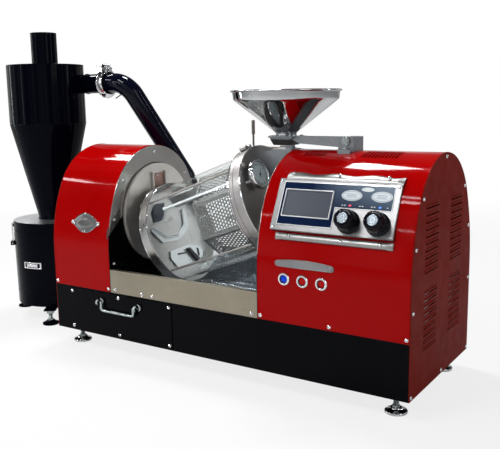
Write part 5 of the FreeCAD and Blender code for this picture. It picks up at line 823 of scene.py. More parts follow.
def console_screws():
    bolts = bmesh.new()
    for v in (7, 109):
        for u in (6.5, CONSOLE_SPAN - 6.5):
            screw_head(bolts, CONSOLE @ Vector((u, v, 0)), CONSOLE.to_3x3() @ Vector(UP), 3.4, 1.8)
    for z, out, places in ((433, 9.0, (706, 815, 925)), (310, 7.4, (724, 846, 932))):
        for x in places:
            screw_head(bolts, off_skin(x, z, out), skin_normal(z), 4.0, 2.4, 0.2 + x)
    piece("console_screws", bolts, chrome, angle=28)


def strips():
    """Upper strip with a gently scalloped lower lip and lower strip with a rolled front."""
    bm = bmesh.new()
    left, right = 690.0, 958.0
    count = 90
    for low, high, foot, bulge, wave in ((422.0, 437.5, 4.6, 4.2, 1.6), (301.5, 316.5, 2.6, 5.0, 0.0)):
        rings = []
        for k in range(count + 1):
            x = left + (right - left) * k / count
            rise = high - low + wave * math.sin(6 * math.pi * k / count)
            end = min(1.0, 12 * min(k, count - k) / count + 0.35)
            ring = [off_skin(x, low + rise * share, foot * (1 - 0.6 * share)
                             + bulge * end * math.sin(math.pi * share) ** 0.7)
                    for share in (j / 8 for j in range(9))]
            ring += [off_skin(x, low + rise * share, 0.4) for share in (1, 0)]
            rings.append(ring_of(bm, ring))
        bar(bm, rings)
    piece("console_rails", bm, rail_steel, angle=40)


def knob(index, body, node, u, turn):
    """Fluted knob with a bright turned cap and a pointer line."""
    place = CONSOLE @ moved(u, 29.0, 0)
    bm = bmesh.new()
    rings = []
    for radius, height, flute in ((4, 0.5, 0), (24.2, 0.5, 0), (25, 1.2, 0), (25, 5, 0), (24.4, 6.2, 0),
                                  (22.6, 7.4, 0), (22.3, 8.6, 1), (21.6, 18, 1), (20.9, 28.5, 1),
                                  (20.3, 30.6, 0.6), (19, 31.7, 0), (16, 32, 0), (12.4, 32, 0),
                                  (12, 31.4, 0), (0.01, 31.4, 0)):
        ring = []
        for angle in (2 * math.pi * k / 144 for k in range(144)):
            cut = radius - flute * 1.1 * max(0.0, math.cos(angle * 18)) ** 2
            ring.append((cut * math.cos(angle), cut * math.sin(angle), height))
        rings.append(ring_of(bm, ring))
    stitch(bm, rings)
    carried(bm, place)
    piece("knob_grip_%d" % index, bm, knob_black, node, body, angle=50)
    cap = bmesh.new()
    turned(cap, [(0, 33.1), (9.2, 33.1), (9.8, 33.5), (10.9, 33.5), (11.5, 32.9), (11.5, 31.5),
                 (0, 31.5)], place, 56)
    cap_look = spun("knob_cap_look_%d" % index, (0.30, 0.35, 0.39), (0.22, 0.26, 0.30),
                    place @ Vector((0, 0, 33)) / 1000 - ORIGIN, "Y")
    piece("knob_cap_%d" % index, cap, cap_look, body=body, angle=30)
    mark = bmesh.new()
    flat(mark, [(14.5, -0.3), (18.0, -0.3), (18.0, 0.3), (14.5, 0.3)], 31.9, 32.25,
         place @ Matrix.Rotation(math.radians(turn), 4, "Z"))
    piece("knob_mark_%d" % index, mark, oval_white, body=body)


BUTTON_HEIGHT = 218
BUTTONS = (("blue", "blue_button", 70, blue_lens), ("red_inner", "inner_red_button", 115, red_lens),
           ("red_outer", "outer_red_button", 160, red_lens))


def buttons():
    places = [(CHAMBER_RIGHT + offset, 0, BUTTON_HEIGHT) for _, _, offset, _ in BUTTONS]
    for name, profile, look, slot, node in (
            ("button_rings", [(8.9, 4.0), (8.9, -2.0), (9.6, -3.2), (11.0, -3.5), (12.8, -3.2),
                              (13.8, -2.0), (14.0, -0.8), (14.0, 0.0), (11.0, 0.0), (11.0, 4.0)],
             chrome, "bright_steel", "button_bezels"),
            # Black liner in the bezel bore: a dark sleeve, and painted shade round the recessed lens.
            ("button_shade_liners", [(8.6, 4.0), (8.6, -2.6), (8.86, -3.0), (8.88, 4.0)], ink,
             "black_plastic", None)):
        bm = bmesh.new()
        for place in places:
            lathe(bm, profile, place, BACK, 56, closed=True)
        piece(name, bm, look, node, angle=28)
    for place, (name, body, _, look) in zip(places, BUTTONS):
        bm = bmesh.new()
        lathe(bm, [(0, -1.2), (4.5, -1.3), (6.4, -1.1), (7.6, -0.6), (8.3, 0.4), (8.5, 1.4),
                   (8.5, 5.5), (0, 5.5)], place, BACK)
        piece("lens_" + name, bm, look, "button_" + name, body, angle=30)


# ------------------------------------------------------------------ blank plates
NAME_PLATE = (CHAMBER_RIGHT + 118, 251.6)
BADGE = (117, 292)


def skin_plate(bm, outline, rim, low, high, sink):
    """Plate on the curved skin with a raised rim and a field sunk behind it."""
    cx, cz = (sum(p[axis] for p in outline) / len(outline) for axis in (0, 1))
    size_x = max(abs(x - cx) for x, _ in outline)
    size_z = max(abs(z - cz) for _, z in outline)
    rings = []
    for inward, out in ((0, low), (0, high - 0.3), (0.4, high), (rim, high), (rim + 0.5, high - sink)):
        rings.append(ring_of(bm, [off_skin(cx + (x - cx) * (1 - inward / size_x),
                                           cz + (z - cz) * (1 - inward / size_z), out)
                                  for x, z in outline]))
    stitch(bm, rings)
    field = bm.faces.new(rings[-1])
    back = bm.faces.new(list(reversed(rings[0])))
    bmesh.ops.triangulate(bm, faces=[field, back])


def plates():
    bm = bmesh.new()
    x, z = NAME_PLATE
    skin_plate(bm, arched_outline(x, z, 141, 6.8, 4.2), 1.2, 0.3, 1.9, 0.35)
    for side in (-1, 1):
        screw_head(bm, off_skin(x + side * 63.5, z, 1.5), skin_normal(252), 3.6, 1.8, 0.3)
    piece("label_plate", bm, plate_steel, "blank_plates", angle=30)
    badge = bmesh.new()
    x, z = BADGE
    skin_plate(badge, lens_outline(x, z, 84, 50, 3.5), 3.2, 0.3, 2.1, 0.7)
    for ear in (x - 44.5, x + 44.5):
        skin_plate(badge, oval(ear, z, 5.5, 5.5, 16), 0.8, 0.3, 1.6, 0.2)
        screw_head(badge, off_skin(ear, z, 1.3), skin_normal(z), 2.2, 1.2, 0.5)
    skin_plate(badge, lens_outline(x, z, 56, 22, 2.5), 0.9, 1.4, 2.0, 0.5)
    piece("badge_plate", badge, mirror, angle=30)


# ------------------------------------------------------------------ hopper, arm and post
def hopper():
    """Spun bowl with a rolled rim, a shouldered band and a welded neck."""
    low = FLANGE + 2.5
    seat = (SPOUT_X, MIDDLE, low)
    cone = [(26.6 + 95.8 * k / 12, 9.4 + 74.8 * k / 12) for k in range(13)]
    outer = ([(24.4, 0.2), (24.4, 6.5), (25.0, 8.0)] + cone
             + [(123.6, 85.6), (124.3, 88.0), (125.2, 96.0), (126.2, 102.6)])
    roll = [(128.6 + 2.2 * math.cos(a), 105.4 + 2.4 * math.sin(a))
            for a in (math.radians(d) for d in range(-110, 190, 30))]
    inner = [(125.2, 103.4), (123.6, 96.0), (122.8, 88.4), (121.8, 86.0), (120.4, 84.8),
             (25.6, 10.6), (23.6, 8.4), (23.0, 6.5), (23.0, 0.2)]
    bm = bmesh.new()
    lathe(bm, outer + roll + inner, seat, UP, 112, closed=True)
    lathe(bm, [(24.4, 0.3), (26.4, 0.3), (26.0, 1.6), (24.5, 2.2)], seat, UP, 64, closed=True)
    for spin in (math.radians(20 + 120 * k) for k in range(3)):
        way = Vector((math.cos(spin), math.sin(spin), 0))
        turned(bm, [(0, 0), (1.8, 0), (1.6, 0.7), (0, 1.0)],
               to_axis(Vector(seat) + 124.8 * way + Vector((0, 0, 93)), way), 12)
    piece("hopper_bowl", bm, hopper_steel, "hopper", "hopper_swing", angle=50)


def arm_details():
    """Flange screws, pivot bolt, foot bolt and stop nut of the swinging arm and its post."""
    bm = bmesh.new()
    for x, y in ((-22, -26), (26, -27), (26, 27)):
        hexagon(bm, 8.0, 2.2, 0.01, moved(SPOUT_X + x, MIDDLE + y, FLANGE + 2.5))
    piece("flange_bolts", bm, zinc, body="hopper_swing", angle=30)
    fixed = bmesh.new()
    pivot = Vector((SPOUT_X + 168, MIDDLE - 26.0, FLANGE - 5))
    hexagon(fixed, 15.0, 3.6, 0.01, to_axis(pivot + Vector((0, -3.2, 0)), (0, -1, 0)))
    lathe(fixed, [(0, 0), (9.6, 0), (9.6, 1.0), (8.8, 1.4), (0, 1.4)], pivot + Vector((0, -2.4, 0)),
          (0, -1, 0), 32)
    hexagon(fixed, 11.0, 3.4, 0.01, moved(SPOUT_X + 171, MIDDLE - 34.5, TOP + 3.1))
    hexagon(fixed, 14.0, 4.0, 3.9, moved(SPOUT_X + 144, MIDDLE, TOP + 3.0))
    piece("post_bolts", fixed, zinc, angle=30)


def spout_fittings():
    """Dark seat under the swinging arm and two small bosses on the drum's upper end."""
    bm = bmesh.new()
    turned(bm, [(30.6, 0.4), (31.4, 0.4), (39.4, 13.4), (38.6, 13.6)],
           moved(SPOUT_X, MIDDLE, FLANGE - 18, math.pi / 4), 4, closed=True)
    piece("collar_band", bm, ink, body="hopper_swing", bevel=0.3)
    bosses = bmesh.new()
    for y, radius in ((-34, 5.4), (-16, 4.2)):
        up = math.sqrt((DRUM_RADIUS + 0.6) ** 2 - y ** 2)
        lathe(bosses, [(0, -11), (radius, -11), (radius + 0.5, -9), (radius + 0.5, 6), (radius, 8),
                       (0, 8)], (148, y, up + radius - 0.6), ALONG, 28)
    carried(bosses, DRUM)
    piece("hoop_bosses", bosses, band_steel, body="drum", angle=30)


def lever():
    """Bent charging lever with a knurled grip."""
    bm = bmesh.new()
    y, z = MIDDLE + 84, FLANGE + 2.5 - 34
    hub = SPOUT_X - 47.5
    left = hub - 100
    bend = 7.0
    path = [(hub + 27, z)] + arc(left + bend, z + bend, bend, 270, -90, 6) + [(left, z + 40)]
    tube(bm, [(x, y, up) for x, up in path], 2.6, 20)
    profile = [(0, 33), (3.4, 33), (4.2, 34)]
    for k in range(14):
        profile += [(4.5, 35.6 + 2.2 * k), (4.15, 36.6 + 2.2 * k)]
    profile += [(4.6, 67.2), (4.3, 68.3), (3.2, 69.0), (0, 69.0)]
    lathe(bm, profile, (left, y, z), UP, 32)
    lathe(bm, [(2.6, -18), (6.4, -18), (7, -17.4), (7, -9.9), (6.4, -9.35), (2.6, -9.35)],
          (hub, y, z), ALONG, 32)
    piece("charge_lever_rod", bm, lever_look, "charge_lever", "charge_lever", angle=40)


# ------------------------------------------------------------------ drum
def drum_beads():
    """Rolled edges, spot welds and hoop seams of the two drum ends."""
    for name, low, high, welds, grooves in (
            ("left", -HALF_DRUM, -138.0, (-143.5,), (-141.8,)),
            ("right", 129.0, HALF_DRUM, (134.5, HALF_DRUM - 5.5), (132.6, 144.0))):
        bm = bmesh.new()
        for place in (low + 1.4, high - 1.4):
            lathe(bm, oval(DRUM_RADIUS - 0.6, 0, 1.5, 1.5, 8), (place, 0, 0), ALONG, 128, closed=True)
        carried(bm, DRUM)
        weld_circle = DRUM_RADIUS - 0.1
        for y, z in oval(0, 0, 1, 1, 72):
            for along in welds:
                turned(bm, [(0.9, 0), (0.75, 0.35), (0, 0.5)],
                       DRUM @ to_axis((along, weld_circle * y, weld_circle * z), (0, y, z)), 6)
        piece("drum_hoop_" + name, bm, chrome, body="drum", angle=40)
        groove = bmesh.new()
        inside, outside = DRUM_RADIUS - 0.4, DRUM_RADIUS + 0.25
        for place in grooves:
            lathe(groove, [(inside, 0), (outside, 0), (outside, 0.9), (inside, 0.9)],
                  (place, 0, 0), ALONG, 128, closed=True)
        carried(groove, DRUM)
        piece("drum_groove_" + name, groove, seam_dark, body="drum", angle=40)


ROD_CIRCLE = 128.0
INNER_ROD_CIRCLE = 113.4
PLAIN_ROD = 163
ROD_THREAD = 11


def rods():
    bm = bmesh.new()
    for angle in (math.radians(45 + 90 * k) for k in range(4)):
        y, z = ROD_CIRCLE * math.cos(angle), ROD_CIRCLE * math.sin(angle)
        lathe(bm, [(0, -PLAIN_ROD), (2.9, -PLAIN_ROD), (2.9, PLAIN_ROD), (0, PLAIN_ROD)],
              (0, y, z), ALONG, 20)
        for place in (-PLAIN_ROD - ROD_THREAD, PLAIN_ROD):
            threaded(bm, (place, y, z), ALONG, ROD_THREAD, 3.0, 1.0, 20)
        for place in (167.9, -172.9):
            hexagon(bm, 11.0, 5.0, 2.6, moved(place, y, z, math.pi / 2, "Y"))
        for place in (HALF_DRUM, -167.9):
            lathe(bm, [(3.0, 0), (7.2, 0), (7.2, 0.9), (3.0, 0.9)], (place, y, z), ALONG, 28,
                  closed=True)
    carried(bm, DRUM)
    piece("drum_tie_rods", bm, rod_steel, "tie_rods", "drum")
    inner = bmesh.new()
    turn = math.radians(147)
    y, z = INNER_ROD_CIRCLE * math.cos(turn), INNER_ROD_CIRCLE * math.sin(turn)
    lathe(inner, [(0, -97), (3.7, -97), (3.7, 126), (0, 126)], (0, y, z), ALONG, 24)
    lathe(inner, [(3.7, 0), (5.6, 0), (5.6, 6), (3.7, 6)], (-97, y, z), ALONG, 24, closed=True)
    carried(inner, DRUM)
    # The inner rod wears the near-white half-metal of painted glare.
    piece("drum_inner_rod", inner, end_painted_glare, body="drum")


SCREEN_PITCH = 9.0


def screen(bm, low, high, level, hole, matrix):
    """Sheet of hexagonal cells, each with a round hole. Gives back the area it covers."""
    start = len(bm.verts)
    pitch = SCREEN_PITCH
    step = pitch * math.sqrt(3) / 2
    columns = int((high[0] - low[0] - pitch) / step)
    rows = int((high[1] - low[1] - 1.5 * pitch) / pitch)
    x0 = (low[0] + high[0] - (columns - 1) * step) / 2
    y0 = (low[1] + high[1] - (rows - 0.5) * pitch) / 2
    corner = pitch / math.sqrt(3)
    for i in range(columns):
        for j in range(rows):
            cx, cy = x0 + i * step, y0 + (j + 0.5 * (i % 2)) * pitch
            corners = oval(cx, cy, corner, corner, 6)
            rim = []
            for here, after in zip(corners, corners[1:] + corners[:1]):
                rim += [here, ((here[0] + after[0]) / 2, (here[1] + after[1]) / 2)]
            stitch(bm, [ring_of(bm, [(x, y, level) for x, y in points])
                        for points in (rim, oval(cx, cy, hole, hole, 12))])
    carried(bm, matrix, start)
    return x0 - corner, y0 - pitch / 2, x0 + (columns - 1) * step + corner, y0 + rows * pitch


def cage():
    """Octagonal screen of finely perforated sheet with solid borders."""
    bm = bmesh.new()
    border = bmesh.new()
    low, high = 1.0, 164.0
    level = CAGE_RADIUS * math.cos(math.pi / 8)
    half = CAGE_RADIUS * math.sin(math.pi / 8)
    for side in range(8):
        spin = DRUM @ Matrix.Rotation(math.pi / 4 * side, 4, "X")
        x0, y0, x1, y1 = screen(bm, (low + 2, -half + 1), (high - 2, half - 1), level, 2.75, spin)
        start = len(border.verts)
        for left, right, near, far in ((low, x0 + 3.4, -half, half), (x1 - 3.4, high, -half, half),
                                       (x0, x1, -half, y0 + 3.2), (x0, x1, y1 - 3.2, half)):
            slab(border, (left, near, level + 0.1), (right, far, level + 0.8))
        carried(border, spin, start)
    bmesh.ops.remove_doubles(bm, verts=bm.verts, dist=0.02)
    thicken(piece("cage_sheet", bm, cage_steel, "drum_cage", "drum", angle=25), 1.1)
    piece("cage_borders", border, cage_steel, body="drum", bevel=0.2)


def end_plane(bm, points, low, high):
    """Flat plate on the inner face of the left drum end, from (side, up) points."""
    start = len(bm.verts)
    prism(bm, [(low, y, z) for y, z in points], (high - low, 0, 0))
    carried(bm, DRUM, start)


def between(first, second, share):
    return tuple(a + (b - a) * share for a, b in zip(first, second))


def end_fittings():
    """Octagonal stiffener, mesh window, stay and discharge door on the left drum end. Stiffener and door
    are near-white with painted glare; the window's opening is a dark sheet of painted shade.
    """
    ring = bmesh.new()
    outer = [(-93, 20), (-66, -15), (-2, -19), (54, 9), (62, 60)]
    inner = [(-86, 30), (-44, 3), (3, 0), (36, 20), (48, 62)]
    sides = list(zip(zip(outer, inner), zip(outer[1:], inner[1:])))
    for near, far, thick in ((0.0, 0.52, 3.0), (0.56, 0.72, 4.6), (0.78, 0.94, 6.2)):
        for here, after in sides:
            corners = [between(*here, near), between(*after, near), between(*after, far),
                       between(*here, far)]
            end_plane(ring, corners, END_FACE, END_FACE + thick)
    piece("end_stiffener", ring, end_painted_glare, body="drum", bevel=0.4)
    # The window's opening is a dark plate of painted shade behind the wires.
    window = bmesh.new()
    end_plane(window, [(-72, 41), (-49, 41), (-31, 54), (-12, 88), (-45, 88), (-66, 72)],
              -163.6, -161.2)
    piece("window_shade_sheet", window, window_painted_shade, body="drum")
    wires = bmesh.new()
    for turn in (35, -35):
        for k in range(-5, 6):
            reach = 20 - abs(k)
            turned(wires, [(0, -reach), (0.5, -reach), (0.5, reach), (0, reach)],
                   DRUM @ moved(-160.7, -45, 65, math.radians(turn), "X") @ moved(0, 4.6 * k, 0), 5)
    piece("window_wires", wires, wire_blue, body="drum")
    stay = bmesh.new()
    tube(stay, [(-161, -82, 38), (-158, -60, 39), (-158, -16, 41)], 1.6, 12)
    tube(stay, [(-160, -20, 37), (-152, -16, 41), (-152, -16, 45)], 2.6, 12)
    carried(stay, DRUM)
    piece("end_stay", stay, chrome, body="drum", angle=40)
    door = bmesh.new()
    end_plane(door, [(-48, -41), (20, -37), (66, -44), (80, -58), (76, -76), (42, -86), (-38, -89),
                     (-54, -60)], -163.0, -160.0)
    piece("door_plate", door, end_painted_glare, body="drum", bevel=0.6)
    bars = bmesh.new()
    for high, points in ((-151.0, [(11, -46), (22, -45), (50, -82), (37, -87)]),
                         (-157.5, [(-24, -52), (8, -55), (8, -58), (-24, -56)]),
                         (-157.5, [(58, -52), (63, -54), (60, -74), (55, -74)])):
        end_plane(bars, points, -160.0, high)
    piece("door_bar", bars, matt_black, body="drum", bevel=0.8)


def cheeks():
    """U-shaped bracket of the left turning disc: two cheeks, a warm red-brown back and a screw."""
    face = machine_box("turning_discs")[0].x + 9.0
    bm = bmesh.new()
    for low in (160.6, 211.4):
        prism(bm, [(face + 0.3, low, 336), (face + 22, low, 336), (face + 8, low, 372),
                   (face + 7, low, 414), (face + 0.3, low, 414)], (0, 4.0, 0))
    piece("carrier_cheeks", bm, disc_steel, body="drum", bevel=0.4)
    back = bmesh.new()
    slab(back, (face + 0.3, 164.9, 338), (face + 1.5, 211.1, 410))
    piece("carrier_back", back, warm_sheet, body="drum", bevel=0.3)
    head = bmesh.new()
    screw_head(head, (face + 1.5, 184, 404), ALONG, 3.4, 1.8, 0.5)
    piece("carrier_screw", head, chrome, body="drum", angle=28)


def vanes():
    """Mixing vanes with folded lips, feet and rivets."""
    bm = bmesh.new()
    outer = CAGE_RADIUS * math.cos(math.pi / 8)
    for k, low in enumerate((-110.0, -30.0, -44.0)):
        start = len(bm.verts)
        slab(bm, (low, -0.7, outer - 34), (0, 0.7, outer - 0.5))
        slab(bm, (low, -0.7, outer - 35.2), (0, 7.0, outer - 34))
        slab(bm, (low, -9.0, outer - 1.9), (-20, 0.7, outer - 0.7))
        lathe(bm, [(3.2, 0), (2.8, 1.1), (0, 1.6)], (-26, -5, outer - 1.9), (0, 0, -1), 16)
        carried(bm, DRUM @ Matrix.Rotation(math.radians(30 + 120 * k), 4, "X"), start)
    piece("vane_blades", bm, inner_steel, "mixing_vanes", "drum", bevel=0.3)


def gauge():
    """Bimetal thermometer: stepped bezel, dial with a scale, needle and glass."""
    place = DRUM @ moved(HALF_DRUM, -62, 60, math.pi / 2, "Y")
    case, stem, dial, marks, lens = (bmesh.new() for _ in range(5))
    turned(case, [(0, 0.2), (12, 0.2), (12, 8), (13.5, 9), (32.5, 9.4), (34.5, 10.4), (35.4, 12),
                  (35.8, 14), (35.8, 20.4), (35.2, 22), (34.0, 22.9), (32.2, 23), (30.6, 22.4),
                  (29.6, 20.8), (29.4, 18.5), (0, 18.5)], place, 80)
    piece("gauge_case", case, chrome, "drum_gauge", "drum", angle=30)
    turned(stem, [(0, 0), (3.6, 0), (3.6, 9), (2.2, 10.5), (2.2, 16), (0, 16)],
           DRUM @ moved(178, -99, 48, math.pi / 2, "X"), 24)
    piece("gauge_stem", stem, chrome, body="drum", angle=30)
    turned(dial, [(0, 18.6), (29.2, 18.6), (29.2, 19.0), (0, 19.0)], place, 64)
    piece("gauge_dial", dial, dial_face, body="drum")
    for k in range(41):
        inner, width = (20.0, 0.8) if k % 5 == 0 else (23.0, 0.4)
        flat(marks, [(inner, -width), (27.0, -width), (27.0, width), (inner, width)], 19.0, 19.25,
             place @ Matrix.Rotation(math.radians(225 - 270 * k / 40), 4, "Z"))
    needle = place @ Matrix.Rotation(math.radians(150), 4, "Z")
    flat(marks, [(-7, -1.1), (15, -0.3), (15, 0.3), (-7, 1.1)], 19.3, 19.8, needle)
    turned(marks, [(3.0, 19.3), (2.6, 20.3), (0, 20.6)], needle, 20)
    piece("gauge_marks", marks, ink, body="drum")
    turned(lens, [(0, 22.0), (16, 21.8), (29.3, 21.2), (29.3, 20.7), (0, 21.1)], place, 56)
    piece("gauge_glass", lens, glass, body="drum")


# ------------------------------------------------------------------ cyclone, bin and pipe
CYCLONE_SEAM = math.radians(-128)
BEADS = ((110.6, 539.0, 1.0), (110.4, 708.6, 1.3), (37.0, 801.6, 1.1), (37.4, 711.2, 1.6),
         (45.6, 263.0, 1.2), (45.8, 253.2, 1.8), (119.9, 215.0, 1.0), (118.2, 3.2, 1.6),
         (119.2, 40.0, 0.9))


def cyclone_details():
    """Rolled seams, lap welds and rims on the cyclone and the chaff bin."""
    bm = bmesh.new()
    for radius, height, size in BEADS:
        lathe(bm, oval(radius, 0, size, size, 10), on_column(height), UP, 96, closed=True)
    lathe(bm, oval(28.2, 0, 1.8, 1.8, 10), (CYCLONE.x + 95.5, INLET.y, INLET.z), ALONG, 56,
          closed=True)
    for low, high, r0, r1 in ((541, 708, 111, 111), (264, 537, 46, 110.8), (6, 213, 119.05, 120.9)):
        points = []
        for share in (j / 24 for j in range(25)):
            radius = r0 + (r1 - r0) * share
            points.append((CYCLONE.x + radius * math.cos(CYCLONE_SEAM),
                           CYCLONE.y + radius * math.sin(CYCLONE_SEAM), low + (high - low) * share))
        tube(bm, points, 0.7, 8)
    piece("cyclone_seams", bm, cyclone_black, angle=40)
    lid = bmesh.new()
    lathe(lid, [(46.2, 27.6), (60, 27.7), (118.0, 27.7), (120.0, 27.2), (BIN_RADIUS, 25.8),
                (BIN_RADIUS, 3.0), (BIN_RADIUS, 1.6), (120.2, 0.4), (119.4, 0.3), (119.4, 25.4),
                (118.6, 26.2), (46.2, 26.2)],
          on_column(LID_SEAT), UP, 112, closed=True)
    for face in lid.faces:
        centre = face.calc_center_median()
        if math.hypot(centre.x - CYCLONE.x, centre.y - CYCLONE.y) > BIN_RADIUS - 2:
            face.material_index = 1
    piece("lid_shell", lid, [lid_steel, cyclone_black], "bin_lid", angle=30)
    ring = bmesh.new()
    lathe(ring, oval(120.6, 9.5, 0.5, 0.9, 8), on_column(LID_SEAT), UP, 112, closed=True)
    piece("lid_bead", ring, cyclone_black, angle=40)


def round_plate(bm, u_low, u_high, z_low, z_high, out_low, out_high, turn, steps=8):
    """Small plate bent round the bin, placed by its turn about the bin's axis."""
    rings = []
    for k in range(steps + 1):
        angle = turn + (u_low + (u_high - u_low) * k / steps) / BIN_RADIUS
        rings.append(ring_of(bm, [(CYCLONE.x + radius * math.cos(angle),
                                   CYCLONE.y + radius * math.sin(angle), z)
                                  for radius, z in ((out_low, z_low), (out_high, z_low),
                                                    (out_high, z_high), (out_low, z_high))]))
    bar(bm, rings)


def clasp():
    """Bright hasp on the front of the bin: hinge plate, two bars and a ribbed tongue."""
    turn = math.radians(-76)
    bm = bmesh.new()
    z = 118.0

    def at(height):
        return BIN_FOOT_RADIUS + (BIN_RADIUS - BIN_FOOT_RADIUS) * height / LID_SEAT
    for low, high, u0, u1, deep in ((14, 17, -34, 26, 2.4), (-2, 1, -34, 26, 2.4),
                                    (-2, 17, -34, -30, 2.2), (-2, 17, 22, 26, 2.2),
                                    (2.5, 12.5, -24, 14, 1.8)):
        out = at(z + low)
        round_plate(bm, u0, u1, z + low, z + high, out - 0.6, out + deep, turn)
    for u in (-22 + 4.2 * k for k in range(9)):
        round_plate(bm, u, u + 1.6, z + 3.2, z + 11.8, at(z) + 1.6, at(z) + 2.5, turn, 1)
    piece("bin_hasp", bm, chrome, bevel=0.3)


def latch_plate():
    bm = bmesh.new()
    slab(bm, (127.6, -5.5, -30), (128.4, 5.5, 4))
    lathe(bm, [(0, 0), (2.6, 0), (2.2, 1.2), (0, 1.6)], (128.2, 0, -34), ALONG, 16)
    carried(bm, moved(*on_column(LID_SEAT), math.radians(225)))
    piece("latch_stiffener", bm, chrome, body="bin_latch", bevel=0.3)


def clamp():
    """V-section band clamp with rolled flanges, trunnion, T-bolt and nut."""
    band = bmesh.new()
    half = [(44.0, 0), (43.6, 1.6), (41.0, 2.6), (36.0, 4.4), (32.4, 7.0), (32.0, 9.2), (31.2, 9),
            (29.2, 8.2)]
    mirrored = [(radius, -x) for radius, x in reversed(half[1:-1])]
    lathe(band, mirrored + half + [(28.6, 0), (29.2, -8.2)], INLET, ALONG, 72, closed=True)
    for y in (-10.0, 6.0):
        slab(band, INLET + Vector((-8.5, y, 31)), INLET + Vector((8.5, y + 4, 55.6)))
    piece("clamp_band", band, chrome, "pipe_clamp", bevel=0.6)
    bolt = bmesh.new()
    lathe(bolt, [(0, -16), (2.6, -16), (2.6, 18), (0, 18)], INLET + Vector((4.5, 0, 42)), BACK, 18)
    for side in (-1, 1):
        hexagon(bolt, 9.0, 5.0, 0.01, to_axis(INLET + Vector((4.5, 11 * side, 42)), (0, side, 0)))
    for side, turn in ((-1, 40), (1, 140), (-1, 215), (1, 325)):
        y, z = math.cos(math.radians(turn)), math.sin(math.radians(turn))
        lathe(bolt, [(0, 0), (2.6, 0), (2.2, 1.2), (0, 1.7)],
              INLET + Vector((side * 6.0, 34.5 * y, 34.5 * z)), (0, y, z), 14)
    piece("clamp_bolt", bolt, zinc, angle=30)
    flanges = bmesh.new()
    for x, radius in ((-16.5, 30.9), (13.5, 29.4)):
        lathe(flanges, oval(radius, 0, 2.8, 2.2, 10), INLET + Vector((x, 0, 0)), ALONG, 64, closed=True)
    piece("pipe_collars", flanges, black, angle=40)
    handle = bmesh.new()
    pivot = INLET + Vector((0, 0, 50))
    for reach, radius, segments in ((10, 3, 20), (4, 4.5, 24)):
        lathe(handle, [(0, -reach), (radius, -reach), (radius, reach), (0, reach)], pivot, BACK, segments)
    for side in (-1, 1):
        tube(handle, [pivot + Vector((x, side * y, z)) for x, y, z in
                      ((0, 2.4, 1.6), (-12, 2.4, 1.8), (-26, 2.8, 1.4), (-34.5, 1.6, 1.6))], 1.35, 12)
    slab(handle, pivot + Vector((-36, -4, 0.2)), pivot + Vector((-20, 4, 1.2)))
    piece("clamp_handle", handle, chrome, "clamp_lever", "clamp_lever", bevel=0.3)


PIPE_BEND = 62.0


def pipe_details():
    """Mitre welds round the bends of the exhaust pipe."""
    bm = bmesh.new()
    route = [INLET, Vector((-20, INLET.y, INLET.z)), Vector((136, 440, 335)), Vector((136, 381, 335))]
    for before, corner, after in zip(route, route[1:], route[2:]):
        arriving = (corner - before).normalized()
        leaving = (after - corner).normalized()
        half_turn = math.tan(arriving.angle(leaving) / 2)
        shorter = min((corner - before).length, (after - corner).length)
        setback = min(PIPE_BEND, 0.9 * shorter / half_turn) * half_turn
        for place, way in ((corner - arriving * setback, arriving),
                           (corner + leaving * setback, leaving)):
            lathe(bm, oval(27.9, 0, 1.2, 1.5, 8), place, way, 64, closed=True)
    piece("pipe_welds", bm, black, angle=40)


# ------------------------------------------------------------------ handle, louvres and tray
def handle():
    """Bail handle bent from one rod, swinging in two bosses."""
    left, right = 173.0, 285.0
    y, top, low = -9.5, 92.0, 71.0
    bend = 7.0
    path = ([(left - 11.5, top)] + arc(left - 1.5, top - 3, 3, 90, -90, 5)
            + arc(left + bend + 1, low + bend, bend, 180, 90, 5))
    path += [(left + right - x, z) for x, z in reversed(path)]
    rod = bmesh.new()
    tube(rod, [(x, y, z) for x, z in path], 3.4, 20)
    piece("bail_handle", rod, zinc, "drop_handle", "drop_handle", angle=50)
    bosses = bmesh.new()
    for low_x, high_x in ((left - 11.8, left - 3.8), (right + 3.8, right + 11.8)):
        lathe(bosses, [(3.9, low_x), (7.6, low_x), (8.1, low_x + 0.8), (8.1, high_x - 0.8),
                       (7.6, high_x), (3.9, high_x)], (0, y, top), ALONG, 36, closed=True)
        lathe(bosses, [(0, 0), (9.5, 0), (9.0, 1.4), (7.5, 2.6), (0, 2.6)],
              ((low_x + high_x) / 2, -2.0, top), (0, -1, 0), 32)
    piece("handle_bosses", bosses, zinc, angle=35)


LOUVRE_PITCH = 14.6
LOUVRE_HALF = 40


def louvres():
    """Pressed hoods over the slots of both end panels."""
    bm = bmesh.new()
    heights = [246.0 + LOUVRE_PITCH * k for k in range(10)] + [85.0 + LOUVRE_PITCH * k for k in range(9)]
    section = arc(0, 0, 1, 180, -180, 5)
    for face, side in ((BODY_RIGHT, 1), (0.0, -1)):
        for y in (MIDDLE - 77.0, MIDDLE + 77.0):
            for z in heights:
                rows = []
                for share in (k / 12 for k in range(13)):
                    rise = 2.1 * min(1.0, math.sin(math.pi * share) * 3.2)
                    along = y + LOUVRE_HALF * (2 * share - 1)
                    rows.append(ring_of(bm, [(face + side * (0.05 + rise * out * 0.95), along,
                                              z + 5.6 + 2.5 * up) for up, out in section]))
                stitch(bm, rows, around=False)
    piece("louvre_hoods", bm, dark_panel, angle=60)


